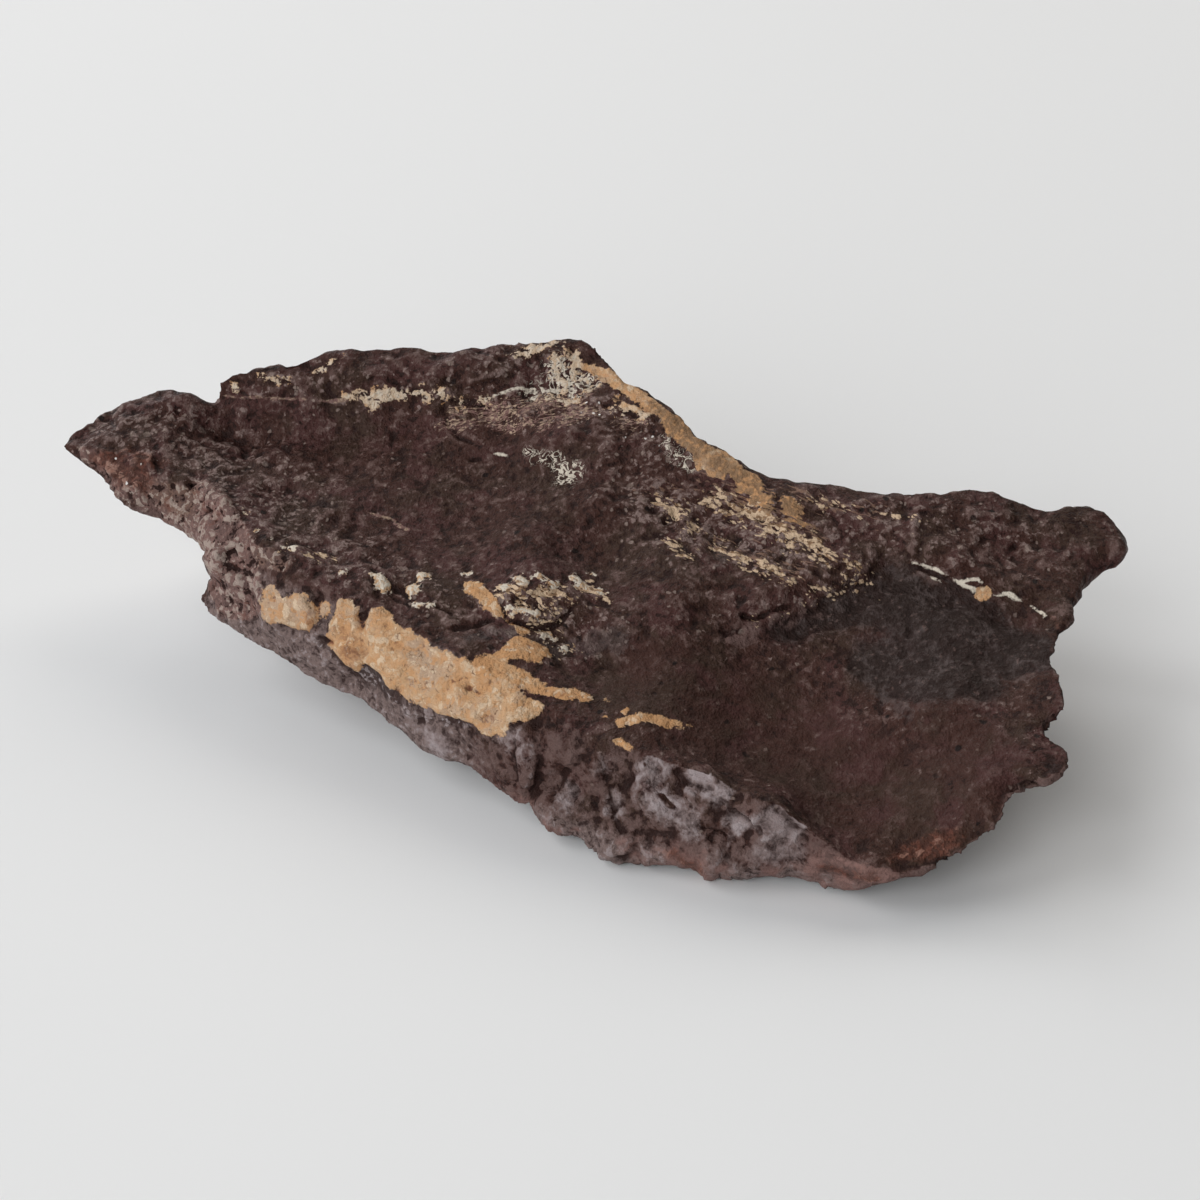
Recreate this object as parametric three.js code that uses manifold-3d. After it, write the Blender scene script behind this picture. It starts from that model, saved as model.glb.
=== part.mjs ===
// A weathered chondrite fragment: one flat flake of iron-stained stone with a thin pointed
// left end, a raised rib along the back, a thick broken front edge and a knobbed right end.
// Millimetres, +Z up. The origin is under the middle of the stone, at the level it rests on.
// +X runs along the flake to its knobbed end, and +Y towards the raised back rib.
import * as THREE from 'three';
import { mergeVertices } from 'three/addons/utils/BufferGeometryUtils.js';
import Module from 'manifold-3d';

// Driving dimensions.
const LENGTH = 46; // tip to knob
const SURVEY_LENGTH = 46; // the length that the stations below are written for
const SIZE = LENGTH / SURVEY_LENGTH;

// Mesh fineness.
const COLUMNS_PER_STATION = 3;
const TOP_RINGS = 18;
const SIDE_RINGS = 7;
const BASE_RINGS = 11;
const EDGE_TURN_RINGS = 3; // rings on each side of the edge that take its direction
const RELAXING_PASSES = 400;
const JOINING_SHARES = [0.45, 0.2, 0.07]; // where columns halve in number, from edge to middle
const WELD_DISTANCE = 1e-4;

// The upper face is a plane that falls towards the front, with landforms on it.
const FACE_LEVEL = 7.4; // height over the origin
const FACE_RISE_BACK = 0.302; // rise per millimetre towards +Y
const FACE_RISE_RIGHT = 0.041; // rise per millimetre towards +X

// The belly sweeps down from the foot line to a worn flat in its middle.
const BELLY_SLOPE_SHARE = 0.56;
const BELLY_WEAR = 0.45; // how much of the middle is worn away

// Roughness of the broken surface.
const SIDE_BULGE = 0.45;
const SWELL_SIZE = 4.2;
const SWELL_HEIGHT = 0.36;
const GRIT_SIZE = 1.4;
const GRIT_HEIGHT = 0.2;
const LAYER_LENGTH = 7.0; // the stone breaks in thin layers, which stand out on steep sides
const LAYER_THICKNESS = 2.2;
const LAYER_HEIGHT = 0.45;
const SCOOP_SIZE = 5.5;
const SCOOP_DEPTH = 0.8;
const SCOOP_MEAN = 0.25; // puts as much over the smooth surface as under it
const EDGE_ROUGHNESS_SHARE = 0.35;

// Stations round the edge, from the left tip over the back, the right end and the front.
// Each has a point on the upper edge, then the point below it on the foot line.
const STATIONS = [
  // thin left tip, seen from behind
  [[-23.8, 8.4, 7.9], [-23.4, 8.5, 7.2]],
  [[-22.8, 9.7, 8.5], [-22.3, 9.9, 7.0]],
  [[-21.6, 10.6, 8.9], [-21.0, 11.2, 6.6]],
  [[-19.6, 11.0, 9.3], [-19.0, 12.0, 6.0]],
  // saddle between the tip and the rib
  [[-17.5, 10.6, 9.1], [-17.4, 12.2, 5.2]],
  // back rib
  [[-16.9, 10.8, 10.3], [-16.2, 12.8, 4.6]],
  [[-14.3, 10.7, 10.6], [-14.0, 13.2, 3.8]],
  [[-11.6, 11.1, 11.0], [-11.4, 13.6, 3.0]],
  [[-8.9, 11.0, 11.2], [-8.8, 13.8, 2.6]],
  [[-6.2, 10.8, 11.3], [-6.0, 13.6, 2.4]],
  [[-3.6, 10.8, 11.7], [-3.2, 13.4, 2.2]],
  // highest point
  [[-1.4, 10.8, 12.0], [-0.8, 12.8, 2.2]],
  [[0.0, 10.0, 11.8], [1.2, 12.0, 2.4]],
  // slope down to the waist
  [[0.8, 8.9, 11.1], [2.6, 10.8, 2.6]],
  [[2.7, 7.3, 10.7], [4.4, 9.4, 2.8]],
  [[4.0, 5.5, 10.0], [6.0, 7.9, 3.0]],
  [[5.8, 4.0, 9.4], [7.6, 6.8, 3.2]],
  [[7.8, 3.2, 9.0], [9.4, 6.2, 3.5]],
  // back edge of the right lobe
  [[10.2, 3.0, 8.8], [11.4, 5.6, 3.9]],
  [[12.7, 2.5, 8.7], [13.4, 5.0, 4.4]],
  [[14.4, 2.4, 8.6], [15.0, 4.6, 4.8]],
  [[15.9, 2.8, 8.9], [16.6, 4.4, 5.2]],
  [[17.8, 2.1, 8.6], [18.2, 3.8, 5.5]],
  [[19.4, 1.8, 8.3], [19.8, 3.2, 5.8]],
  // knob at the right end
  [[20.8, 2.1, 8.3], [20.9, 2.6, 6.0]],
  [[21.8, 0.8, 7.7], [21.6, 1.0, 6.3]],
  [[21.3, -0.6, 7.3], [20.6, -0.2, 6.4]],
  [[19.8, -1.9, 7.0], [19.0, -1.1, 6.0]],
  // scalloped right edge
  [[19.0, -4.4, 6.7], [18.0, -3.4, 5.6]],
  [[18.3, -6.0, 6.3], [17.2, -4.8, 5.2]],
  [[18.4, -8.0, 6.0], [17.0, -6.6, 4.8]],
  [[18.3, -9.3, 5.7], [16.8, -7.8, 4.5]],
  [[17.6, -10.2, 5.4], [16.2, -8.6, 4.2]],
  [[18.2, -11.2, 5.1], [16.4, -9.6, 3.9]],
  [[17.8, -12.3, 4.8], [15.8, -10.4, 3.5]],
  [[16.1, -12.8, 4.3], [14.4, -10.9, 3.0]],
  [[15.3, -13.9, 3.6], [13.4, -11.8, 2.3]],
  [[13.6, -14.6, 2.6], [12.2, -12.9, 1.5]],
  [[11.8, -14.8, 1.9], [10.9, -13.7, 0.9]],
  // low front corner, then the broken front edge
  [[10.0, -14.5, 2.0], [9.4, -13.8, 0.4]],
  [[8.4, -13.8, 2.9], [7.7, -13.1, 0.5]],
  [[6.2, -12.6, 3.7], [5.6, -12.7, 0.6]],
  [[3.5, -11.2, 4.1], [3.3, -12.3, 0.6]],
  [[0.8, -9.8, 4.4], [0.8, -11.9, 0.45]],
  [[-2.0, -8.1, 4.8], [-1.8, -10.0, 0.8]],
  [[-4.0, -6.3, 5.4], [-4.2, -8.1, 1.2]],
  [[-6.5, -4.7, 5.8], [-7.0, -5.9, 1.7]],
  [[-9.5, -2.8, 6.3], [-10.9, -2.9, 2.2]],
  [[-12.5, -0.9, 6.8], [-15.0, 0.1, 2.8]],
  // tongue of the lower layer
  [[-14.0, 0.6, 7.2], [-17.4, 2.1, 3.5]],
  // broken underside of the tip
  [[-16.1, 3.5, 7.7], [-16.5, 3.3, 4.8]],
  [[-19.2, 6.2, 8.1], [-18.6, 5.2, 5.8]],
  [[-21.6, 7.3, 8.1], [-20.9, 6.1, 6.3]],
  [[-23.0, 8.0, 8.0], [-22.5, 7.5, 6.9]],
];

// Rounded swells and hollows of the upper face: x, y, radius, height.
const SWELLS = [
  [-19.6, 9.2, 2.6, 0.5], // hump on the tip
  [-1.2, 9.6, 2.6, 0.6], // summit
  [0.8, 6.4, 3.6, 0.7], // shoulder in front of the summit
  [14.5, 0.6, 3.8, 0.6], // right lobe
  [20.8, 0.8, 1.6, 0.4], // knob
  [9.0, -9.0, 5.5, -0.8], // shallow dish at the front
  [-8.5, 3.5, 5.5, -0.4], // hollow of the left half
  [13.8, -5.2, 3.4, 0.45], // smooth dark boss
  [-14.3, 7.4, 2.2, 0.25],
  [-3.4, 1.2, 2.6, 0.35],
  [3.2, -1.5, 2.8, 0.3],
];

// Long rounded ribs and grooves of the upper face.
const RIBS = [
  { line: [[-17.2, 9.5], [-11.3, 8.8], [-6.8, 8.5], [-2.6, 8.9]], width: 0.9, height: -0.3 },
  { line: [[5.7, -4.4], [9.0, -3.0], [11.9, -1.2], [14.8, -2.4], [18.3, -4.0]], width: 0.6, height: -0.3 },
  { line: [[1.0, 8.2], [4.2, 5.0], [7.6, 2.2]], width: 1.0, height: 0.3 },
  { line: [[8.5, 2.0], [13.0, 1.6], [19.0, 1.0]], width: 1.2, height: 0.4 },
];

// Ledges of the upper face, from left to right: the ground is higher behind each line.
const LEDGE_SLOPE = 0.7;
const LEDGES = [
  // foot of the back rib
  { line: [[-17.2, 9.6], [-11.3, 9.1], [-6.8, 8.8], [-2.6, 9.2], [0.0, 9.9]], rise: 1.2, reach: 2.4 },
  // steps under the summit
  { line: [[-6.9, 7.6], [-3.6, 7.4], [0.6, 7.9]], rise: 0.4, reach: 1.6 },
  { line: [[-5.4, 5.8], [-2.4, 5.2], [0.0, 4.2], [3.6, 3.6]], rise: 0.5, reach: 3.0 },
  // broken layer above the front edge
  { line: [[-12.6, -0.2], [-9.6, -1.7], [-6.0, -3.0], [-1.4, -3.7], [1.5, -5.0]], rise: 0.6, reach: 2.2 },
  // scar that crosses the right lobe
  { line: [[5.7, -4.2], [9.0, -2.8], [11.9, -1.0], [14.8, -2.2], [18.3, -3.8]], rise: 0.6, reach: 2.4 },
];

// Lumps and pits of the edge and the belly: x, y, z, radius, height.
const LUMPS = [
  // broken tip and the left half of the front edge
  [-18.1, 5.1, 7.5, 0.9, -0.8],
  [-20.6, 6.6, 7.6, 0.8, 0.3],
  [-16.2, 3.0, 6.4, 1.0, 0.35],
  [-13.0, -1.1, 5.7, 1.2, 0.4],
  [-8.6, -3.8, 4.6, 1.6, 0.35],
  [-3.2, -8.8, 2.9, 1.2, 0.3],
  // hummocks of the right half of the front edge
  [-0.3, -10.2, 3.4, 0.8, 0.5],
  [-1.7, -9.8, 1.9, 0.7, -0.4],
  [0.2, -11.2, 1.9, 0.8, -0.35],
  [0.9, -12.0, 0.9, 1.0, 0.4],
  [1.9, -10.7, 3.8, 0.9, 0.4],
  [2.9, -11.3, 3.4, 0.7, -0.6],
  [4.0, -11.4, 4.0, 0.8, 0.75],
  [3.1, -12.3, 1.7, 0.9, 0.4],
  [4.8, -12.7, 2.0, 0.8, -0.55],
  [6.4, -13.0, 3.0, 1.0, 0.6],
  [6.6, -13.4, 1.5, 1.0, 0.45],
  // back, from the tip to the knob
  [-18.2, 12.0, 7.0, 1.5, -0.5],
  [-13.5, 12.4, 6.5, 2.4, 0.7],
  [-8.0, 12.8, 5.2, 2.2, -0.9],
  [-3.5, 12.6, 7.2, 2.2, 0.7],
  [0.6, 11.5, 4.6, 2.0, -0.8],
  [3.6, 8.6, 6.6, 1.8, 0.7],
  [7.6, 5.6, 5.6, 1.8, -0.7],
  [12.5, 4.2, 6.2, 1.8, 0.6],
  [18.5, 0.6, 5.5, 1.6, 0.4],
  // belly
  [-14.0, 6.5, 3.6, 3.0, -1.0],
  [-12.0, 1.5, 2.2, 2.4, -0.9],
  [-8.5, 9.0, 1.0, 2.4, -0.8],
  [4.5, 4.5, 1.2, 2.4, -0.8],
  [12.0, 1.0, 3.2, 3.0, -1.0],
  [15.0, -5.0, 3.6, 2.6, -0.9],
];

// The slit between the two layers of the left end: mouth, inner end, opening and depth.
const SLIT = {
  mouth: [-17.0, 3.7, 4.7],
  end: [-14.6, 1.9, 4.85],
  opening: 0.45,
  depth: 3.0,
};

const NEAREST_FLOOR = 1e-6; // keeps a distance that is divided by over nought
const { clamp, lerp, smoothstep } = THREE.MathUtils;

// ---- Repeatable noise ----

const LATTICE_PRIMES = [374761393, 668265263, 2147483647];
const MIXING_PRIME = 1274126177;
const LARGEST_INTEGER = 2 ** 32 - 1;

// A pseudo-random value from 0 to 1 at a lattice point.
function latticeValue(...cell) {
  let mixed = cell.reduce((sum, value, axis) => sum ^ Math.imul(value, LATTICE_PRIMES[axis]), 0);
  mixed = Math.imul(mixed ^ (mixed >>> 13), MIXING_PRIME);
  mixed ^= mixed >>> 16;
  return (mixed >>> 0) / LARGEST_INTEGER;
}

// Smooth noise from -1 to 1, with one lump per unit.
function noise(x, y, z) {
  const cell = [Math.floor(x), Math.floor(y), Math.floor(z)];
  const part = [x, y, z].map((value, axis) => {
    const f = value - cell[axis];
    return f * f * (3 - 2 * f);
  });
  let sum = 0;
  for (let corner = 0; corner < 8; corner += 1) {
    const step = [corner & 1, (corner >> 1) & 1, corner >> 2];
    const weight = step.reduce((w, s, axis) => w * (s ? part[axis] : 1 - part[axis]), 1);
    sum += weight * latticeValue(cell[0] + step[0], cell[1] + step[1], cell[2] + step[2]);
  }
  return 2 * sum - 1;
}

// How far the broken surface stands out of the smooth one.
function roughness(p) {
  const swell = noise(p.x / SWELL_SIZE, p.y / SWELL_SIZE, p.z / SWELL_SIZE);
  const layer = noise(p.x / LAYER_LENGTH, p.y / LAYER_LENGTH, p.z / LAYER_THICKNESS);
  const grit = noise(p.x / GRIT_SIZE, p.y / GRIT_SIZE, p.z / GRIT_SIZE);
  const scoop = Math.abs(noise(p.y / SCOOP_SIZE, p.z / SCOOP_SIZE, p.x / SCOOP_SIZE));
  const scooped = SCOOP_DEPTH * (SCOOP_MEAN - scoop);
  return SWELL_HEIGHT * swell + LAYER_HEIGHT * layer + GRIT_HEIGHT * grit + scooped;
}

function lumpHeight(p) {
  let height = 0;
  for (const [x, y, z, radius, rise] of LUMPS) {
    height += rise * bell(Math.hypot(p.x - x, p.y - y, p.z - z), radius);
  }
  return height;
}

// ---- Relief of the upper face ----

// How far a point lies from a line of segments, and on which side: 1 straight to its left,
// -1 straight to its right, and between the two round its ends.
function nearest(line, x, y) {
  let best = { distance: Infinity, side: 0 };
  for (let i = 0; i + 1 < line.length; i += 1) {
    const [ax, ay] = line[i];
    const dx = line[i + 1][0] - ax;
    const dy = line[i + 1][1] - ay;
    const length = Math.hypot(dx, dy);
    const along = clamp(((x - ax) * dx + (y - ay) * dy) / length ** 2, 0, 1);
    const offX = x - ax - along * dx;
    const offY = y - ay - along * dy;
    const distance = Math.hypot(offX, offY) + NEAREST_FLOOR;
    if (distance < best.distance) {
      best = { distance, side: (dx * offY - dy * offX) / (length * distance) };
    }
  }
  return best;
}

function bell(distance, width) {
  return Math.exp(-((distance / width) ** 2));
}

function faceHeight(x, y) {
  let z = FACE_LEVEL + FACE_RISE_BACK * y + FACE_RISE_RIGHT * x;
  for (const [sx, sy, radius, height] of SWELLS) {
    z += height * bell(Math.hypot(x - sx, y - sy), radius);
  }
  for (const { line, width, height } of RIBS) {
    z += height * bell(nearest(line, x, y).distance, width);
  }
  for (const { line, rise, reach } of LEDGES) {
    const { distance, side } = nearest(line, x, y);
    z += 0.5 * rise * side * smoothstep(distance, 0, LEDGE_SLOPE) * bell(distance, reach);
  }
  return z;
}

// ---- The body ----

const columns = STATIONS.length * COLUMNS_PER_STATION;
const FOOT_RING = BASE_RINGS;
const RIM_RING = FOOT_RING + SIDE_RINGS;
const LAST_RING = RIM_RING + TOP_RINGS;

// Points at equal steps along a closed smooth curve through one point of every station.
function edgePoints(which) {
  const points = STATIONS.map((station) => new THREE.Vector3(...station[which]));
  return new THREE.CatmullRomCurve3(points, true, 'centripetal').getPoints(columns).slice(0, columns);
}

// Fills an edge with rings, from its middle outwards. Each point settles at the mean of its
// neighbours, so that the columns neither pinch nor cross, and the height settles with it.
function filledEdge(edge, rings) {
  const middle = edge.reduce((sum, point) => sum.add(point), new THREE.Vector3());
  middle.divideScalar(edge.length);
  const rays = edge.map((point) => {
    const ray = [];
    for (let ring = 0; ring <= rings; ring += 1) {
      ray.push(middle.clone().lerp(point, ring / rings));
    }
    return ray;
  });
  for (let pass = 0; pass < RELAXING_PASSES; pass += 1) {
    rays.forEach((ray, column) => {
      const before = rays[(column + columns - 1) % columns];
      const after = rays[(column + 1) % columns];
      for (let ring = 1; ring < rings; ring += 1) {
        ray[ring].copy(ray[ring - 1]).add(ray[ring + 1]);
        ray[ring].add(before[ring]).add(after[ring]).divideScalar(4);
      }
    });
    middle.set(0, 0, 0);
    rays.forEach((ray) => middle.add(ray[1]));
    middle.divideScalar(columns);
    rays.forEach((ray) => ray[0].copy(middle));
  }
  return rays;
}

const rim = edgePoints(0);
const foot = edgePoints(1);

// The upper face keeps, in place of height, how far it is lifted off the plane and its relief.
const face = filledEdge(
  rim.map(({ x, y, z }) => new THREE.Vector3(x, y, z - faceHeight(x, y))),
  TOP_RINGS,
);
const belly = filledEdge(foot, BASE_RINGS);

// Towards the middle of a disc, neighbouring columns close up in twos, fours and eights.
function joinedColumn(column, share) {
  const joinings = JOINING_SHARES.filter((limit) => share < limit).length;
  return column - (column % 2 ** joinings);
}

function facePoint(column, ring) {
  const { x, y, z } = face[joinedColumn(column, ring / TOP_RINGS)][ring];
  return new THREE.Vector3(x, y, z + faceHeight(x, y));
}

function bellyPoint(column, ring) {
  const share = ring / BASE_RINGS;
  const { x, y, z } = belly[joinedColumn(column, share)][ring];
  const slope = smoothstep(share, 1 - BELLY_SLOPE_SHARE, 1);
  return new THREE.Vector3(x, y, lerp(-BELLY_WEAR, z, slope));
}

// A point of the edge, from the foot line (share 0) to the rim (share 1).
function edgePoint(column, share) {
  const point = foot[column].clone().lerp(rim[column], share);
  const bulge = SIDE_BULGE * Math.sin(Math.PI * share);
  return point.addScaledVector(outward(point), bulge);
}

// The level direction from the middle of the stone to a point.
function outward(point) {
  return new THREE.Vector3(point.x, point.y, 0).normalize();
}

// The smooth place of a point of the skin. Ring 0 is the middle of the belly.
function smoothPoint(column, ring) {
  if (ring <= FOOT_RING) {
    return bellyPoint(column, ring);
  }
  if (ring < RIM_RING) {
    return edgePoint(column, (ring - FOOT_RING) / SIDE_RINGS);
  }
  return facePoint(column, LAST_RING - ring);
}

// Roughness pushes the face up, the edge outwards and the belly down. The rim and the foot
// line take less of it, which keeps the outline.
function roughen(point, ring) {
  const turn = smoothstep(ring, FOOT_RING - EDGE_TURN_RINGS, RIM_RING + EDGE_TURN_RINGS) - 0.5;
  const away = Math.min(Math.abs(ring - RIM_RING), Math.abs(ring - FOOT_RING));
  const share = lerp(EDGE_ROUGHNESS_SHARE, 1, smoothstep(away, 0, EDGE_TURN_RINGS));
  const push = share * roughness(point) + lumpHeight(point);
  const pushed = point.clone().addScaledVector(outward(point), push * Math.cos(Math.PI * turn));
  pushed.z = Math.max(0, point.z + push * Math.sin(Math.PI * turn));
  return pushed;
}

// Leaves only positions, with every shared corner held once.
function welded(geometry) {
  geometry.deleteAttribute('normal');
  geometry.deleteAttribute('uv');
  return mergeVertices(geometry, WELD_DISTANCE);
}

// The whole flake: a lathed skin whose rings are pulled on to the outline and the relief.
function bodyGeometry() {
  const profile = [];
  for (let ring = 0; ring <= LAST_RING; ring += 1) {
    const turn = (Math.PI * ring) / LAST_RING;
    const radius = ring % LAST_RING === 0 ? 0 : Math.sin(turn);
    profile.push(new THREE.Vector2(radius, -Math.cos(turn)));
  }
  const skin = new THREE.LatheGeometry(profile, columns);
  const position = skin.getAttribute('position');
  for (let step = 0; step <= columns; step += 1) {
    const column = (columns - step) % columns;
    for (let ring = 0; ring <= LAST_RING; ring += 1) {
      const point = roughen(smoothPoint(column, ring), ring);
      position.setXYZ(step * (LAST_RING + 1) + ring, point.x, point.y, point.z);
    }
  }
  return welded(skin);
}

// The thin wedge of air between the tongue and the layer over it.
function slitGeometry() {
  const mouth = new THREE.Vector3(...SLIT.mouth);
  const end = new THREE.Vector3(...SLIT.end);
  const length = mouth.distanceTo(end);
  const wedge = new THREE.Shape([
    new THREE.Vector2(0, SLIT.opening / 2),
    new THREE.Vector2(0, -SLIT.opening / 2),
    new THREE.Vector2(length, 0),
  ]);
  const blade = new THREE.ExtrudeGeometry(wedge, { depth: SLIT.depth, bevelEnabled: false });
  blade.translate(0, 0, -SLIT.depth / 2);
  const along = end.clone().sub(mouth).normalize();
  const across = along.clone().cross(new THREE.Vector3(0, 0, 1)).normalize();
  const up = across.clone().cross(along);
  blade.applyMatrix4(new THREE.Matrix4().makeBasis(along, up, across).setPosition(mouth));
  return welded(blade);
}

// ---- Solids ----

const wasm = await Module();
wasm.setup();

function toSolid(geometry) {
  const corners = geometry.getIndex().array;
  const triangles = [];
  for (let i = 0; i < corners.length; i += 3) {
    const [a, b, c] = [corners[i], corners[i + 1], corners[i + 2]];
    if (a !== b && b !== c && c !== a) {
      triangles.push(a, b, c);
    }
  }
  const vertProperties = new Float32Array(geometry.getAttribute('position').array);
  const triVerts = new Uint32Array(triangles);
  return new wasm.Manifold(new wasm.Mesh({ numProp: 3, vertProperties, triVerts }));
}

function toGeometry(solid) {
  const { vertProperties, triVerts } = solid.getMesh();
  const geometry = new THREE.BufferGeometry();
  geometry.setAttribute('position', new THREE.BufferAttribute(vertProperties, 3));
  geometry.setIndex(new THREE.BufferAttribute(triVerts, 1));
  return geometry;
}

// Puts the origin under the middle of the stone, on the level of its flat.
function centred(geometry) {
  geometry.scale(SIZE, SIZE, SIZE);
  geometry.computeBoundingBox();
  const middle = geometry.boundingBox.getCenter(new THREE.Vector3());
  geometry.translate(-middle.x, -middle.y, -geometry.boundingBox.min.z);
  geometry.computeVertexNormals();
  return geometry;
}

const flake = toSolid(bodyGeometry()).subtract(toSolid(slitGeometry()));
const stone = new THREE.MeshStandardMaterial({ color: 0x3d2c28, roughness: 0.8, metalness: 0 });
const meteorite = new THREE.Mesh(centred(toGeometry(flake)), stone);
meteorite.name = 'meteorite';

const model = new THREE.Group();
model.add(meteorite);

export default model;
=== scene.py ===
import itertools
import math

import bmesh
import bpy
import numpy as np
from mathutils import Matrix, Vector


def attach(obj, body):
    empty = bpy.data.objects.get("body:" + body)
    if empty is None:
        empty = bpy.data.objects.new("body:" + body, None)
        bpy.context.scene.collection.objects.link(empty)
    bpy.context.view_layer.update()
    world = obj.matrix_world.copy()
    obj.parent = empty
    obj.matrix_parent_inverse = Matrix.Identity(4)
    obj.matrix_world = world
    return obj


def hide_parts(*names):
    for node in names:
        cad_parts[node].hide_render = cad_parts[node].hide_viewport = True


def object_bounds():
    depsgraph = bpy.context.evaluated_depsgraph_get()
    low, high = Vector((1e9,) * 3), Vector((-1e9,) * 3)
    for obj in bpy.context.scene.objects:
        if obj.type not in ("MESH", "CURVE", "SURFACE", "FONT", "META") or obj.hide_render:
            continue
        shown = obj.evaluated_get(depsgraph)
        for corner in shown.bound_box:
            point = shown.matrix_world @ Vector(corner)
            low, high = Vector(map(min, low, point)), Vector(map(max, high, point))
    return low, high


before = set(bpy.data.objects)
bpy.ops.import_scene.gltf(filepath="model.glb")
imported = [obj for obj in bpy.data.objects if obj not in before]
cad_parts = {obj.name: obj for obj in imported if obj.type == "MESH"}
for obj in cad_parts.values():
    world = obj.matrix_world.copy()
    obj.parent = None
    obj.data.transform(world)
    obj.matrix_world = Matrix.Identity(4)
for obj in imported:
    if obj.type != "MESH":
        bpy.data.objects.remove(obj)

CAD_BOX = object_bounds()

# Lengths are in millimetres until the mesh is finished; the scene itself is in metres.
MM = 0.001
SAME_CORNER = 1e-7       # corners of the solid closer than this, in metres, are one
GRID = 0.135             # size of the even mesh that takes the relief
FACET_SMOOTHING = 12     # passes that take the facets of the solid away
TRIANGLES = 190000       # what the finished stone may have
REACH = 1.0              # how far from a marking's edge its depth is kept
RELIEF_PASSES = 1        # passes that soften the relief
FACE_PASSES = 2          # passes that blend one block's shade into the next
HOLLOW_PASSES = 14       # passes that level the relief, to tell hollows from bumps

# ---- Markings: each a list of runs, whose points are (x, y, z, half width) in millimetres ----

CALICHE_BAND = [
    [(-12.9, -0.3, 5.6, 0.52), (-12.9, -0.4, 5.1, 0.68), (-12.2, -0.8, 5.3, 0.64),
     (-11.5, -1.1, 5.4, 0.72)],
    [(-10.5, -1.4, 5.7, 0.27)],
    [(-9.6, -1.9, 5.8, 0.59), (-9.7, -2.3, 5, 0.88), (-9.4, -2.7, 4.6, 0.85), (-9.4, -3, 3.8, 0.22)],
    [(-8.2, -2.7, 6.1, 0.58), (-8.2, -3.3, 5.2, 1.19), (-7.1, -4.3, 4.9, 1.33), (-5.6, -5.3, 4.7, 1.31),
     (-4.2, -6.3, 4.8, 1.24), (-3.3, -6.9, 4.7, 1.13)],
    [(-3.1, -7.5, 4.1, 0.44), (-2.9, -7.2, 4.6, 0.7), (-2.1, -7.4, 4.8, 0.56), (-1.6, -7.4, 4.9, 0.39)],
    [(-8, -4, 4.3, 0.39)],
]
CALICHE_CREAM = [
    [(-12.9, -0.3, 5.7, 0.62), (-12.9, -0.4, 5, 0.52)],
    [(-12.1, -0.8, 5.6, 0.48), (-11.6, -1.1, 5.4, 0.67)], [(-10.5, -1.4, 5.7, 0.31)],
    [(-6.7, -4.1, 5.5, 0.53), (-6.2, -4.8, 4.9, 0.54)],
]
CALICHE_ARMS = [
    [(-4.7, -0.9, 6.8, 0.24), (-4.1, -1.6, 6.7, 0.4), (-3.6, -2.3, 6.6, 0.3), (-3.2, -3, 6.4, 0.08),
     (-2.3, -3.6, 6.1, 0.21)],
    [(-3.8, -5.5, 5.6, 0.44), (-3, -5.1, 5.8, 0.41), (-2.3, -4.5, 6, 0.6), (-1.9, -4.8, 5.9, 0.65),
     (-1.3, -4.5, 5.7, 0.26)],
    [(-3.1, -5.8, 5.6, 0.46), (-2.2, -6.2, 5.4, 0.35), (-1.1, -6.7, 5.2, 0.3), (-0.2, -6.7, 5.1, 0.38),
     (0.3, -6.9, 5, 0.34)],
    [(1.9, -7.7, 5, 0.24)], [(1.8, -8.3, 4.8, 0.29), (2.9, -8.1, 4.8, 0.35), (3.9, -8, 4.5, 0.25)],
    [(1.1, -6.9, 4.9, 0.15)], [(1.1, -8, 4.8, 0.14)], [(4.5, -7.8, 4.4, 0.14)],
    [(1.7, -9.2, 4.5, 0.17), (2, -9.5, 4.4, 0.16)],
]
VEIN_KNOT = [
    [(16.6, -2, 6.9, 0.26), (16.8, -2, 6.9, 0.26)],
]
ASHY_PATCHES = [
    [(-19.6, 9.9, 8.9, 0.1), (-18.5, 9.6, 8.8, 0.2), (-17.6, 9.9, 8.5, 0.1)],
    [(-17.2, 8.1, 8.1, 0.41), (-16.4, 7, 7.9, 0.41), (-15.9, 6, 7.8, 0.31)],
    [(-13.6, 4.7, 7.5, 0.61), (-12.7, 4.6, 7.3, 0.41)],
    [(-15.9, 6.2, 7.9, 0.3), (-14.6, 4, 7.6, 0.35), (-13.4, 2, 7.3, 0.3)],
    [(3.5, 2.4, 8.4, 0.9), (5.5, 1, 7.9, 0.8), (8.5, 0, 7.8, 0.5)],
]
FRACTURE_TAN = [
    [(-18.2, 6.3, 7.1, 0.71), (-17, 5.7, 6.9, 0.71)], [(-13.4, 1.1, 6.8, 0.51), (-12.4, 0.4, 7, 0.4)],
]
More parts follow.
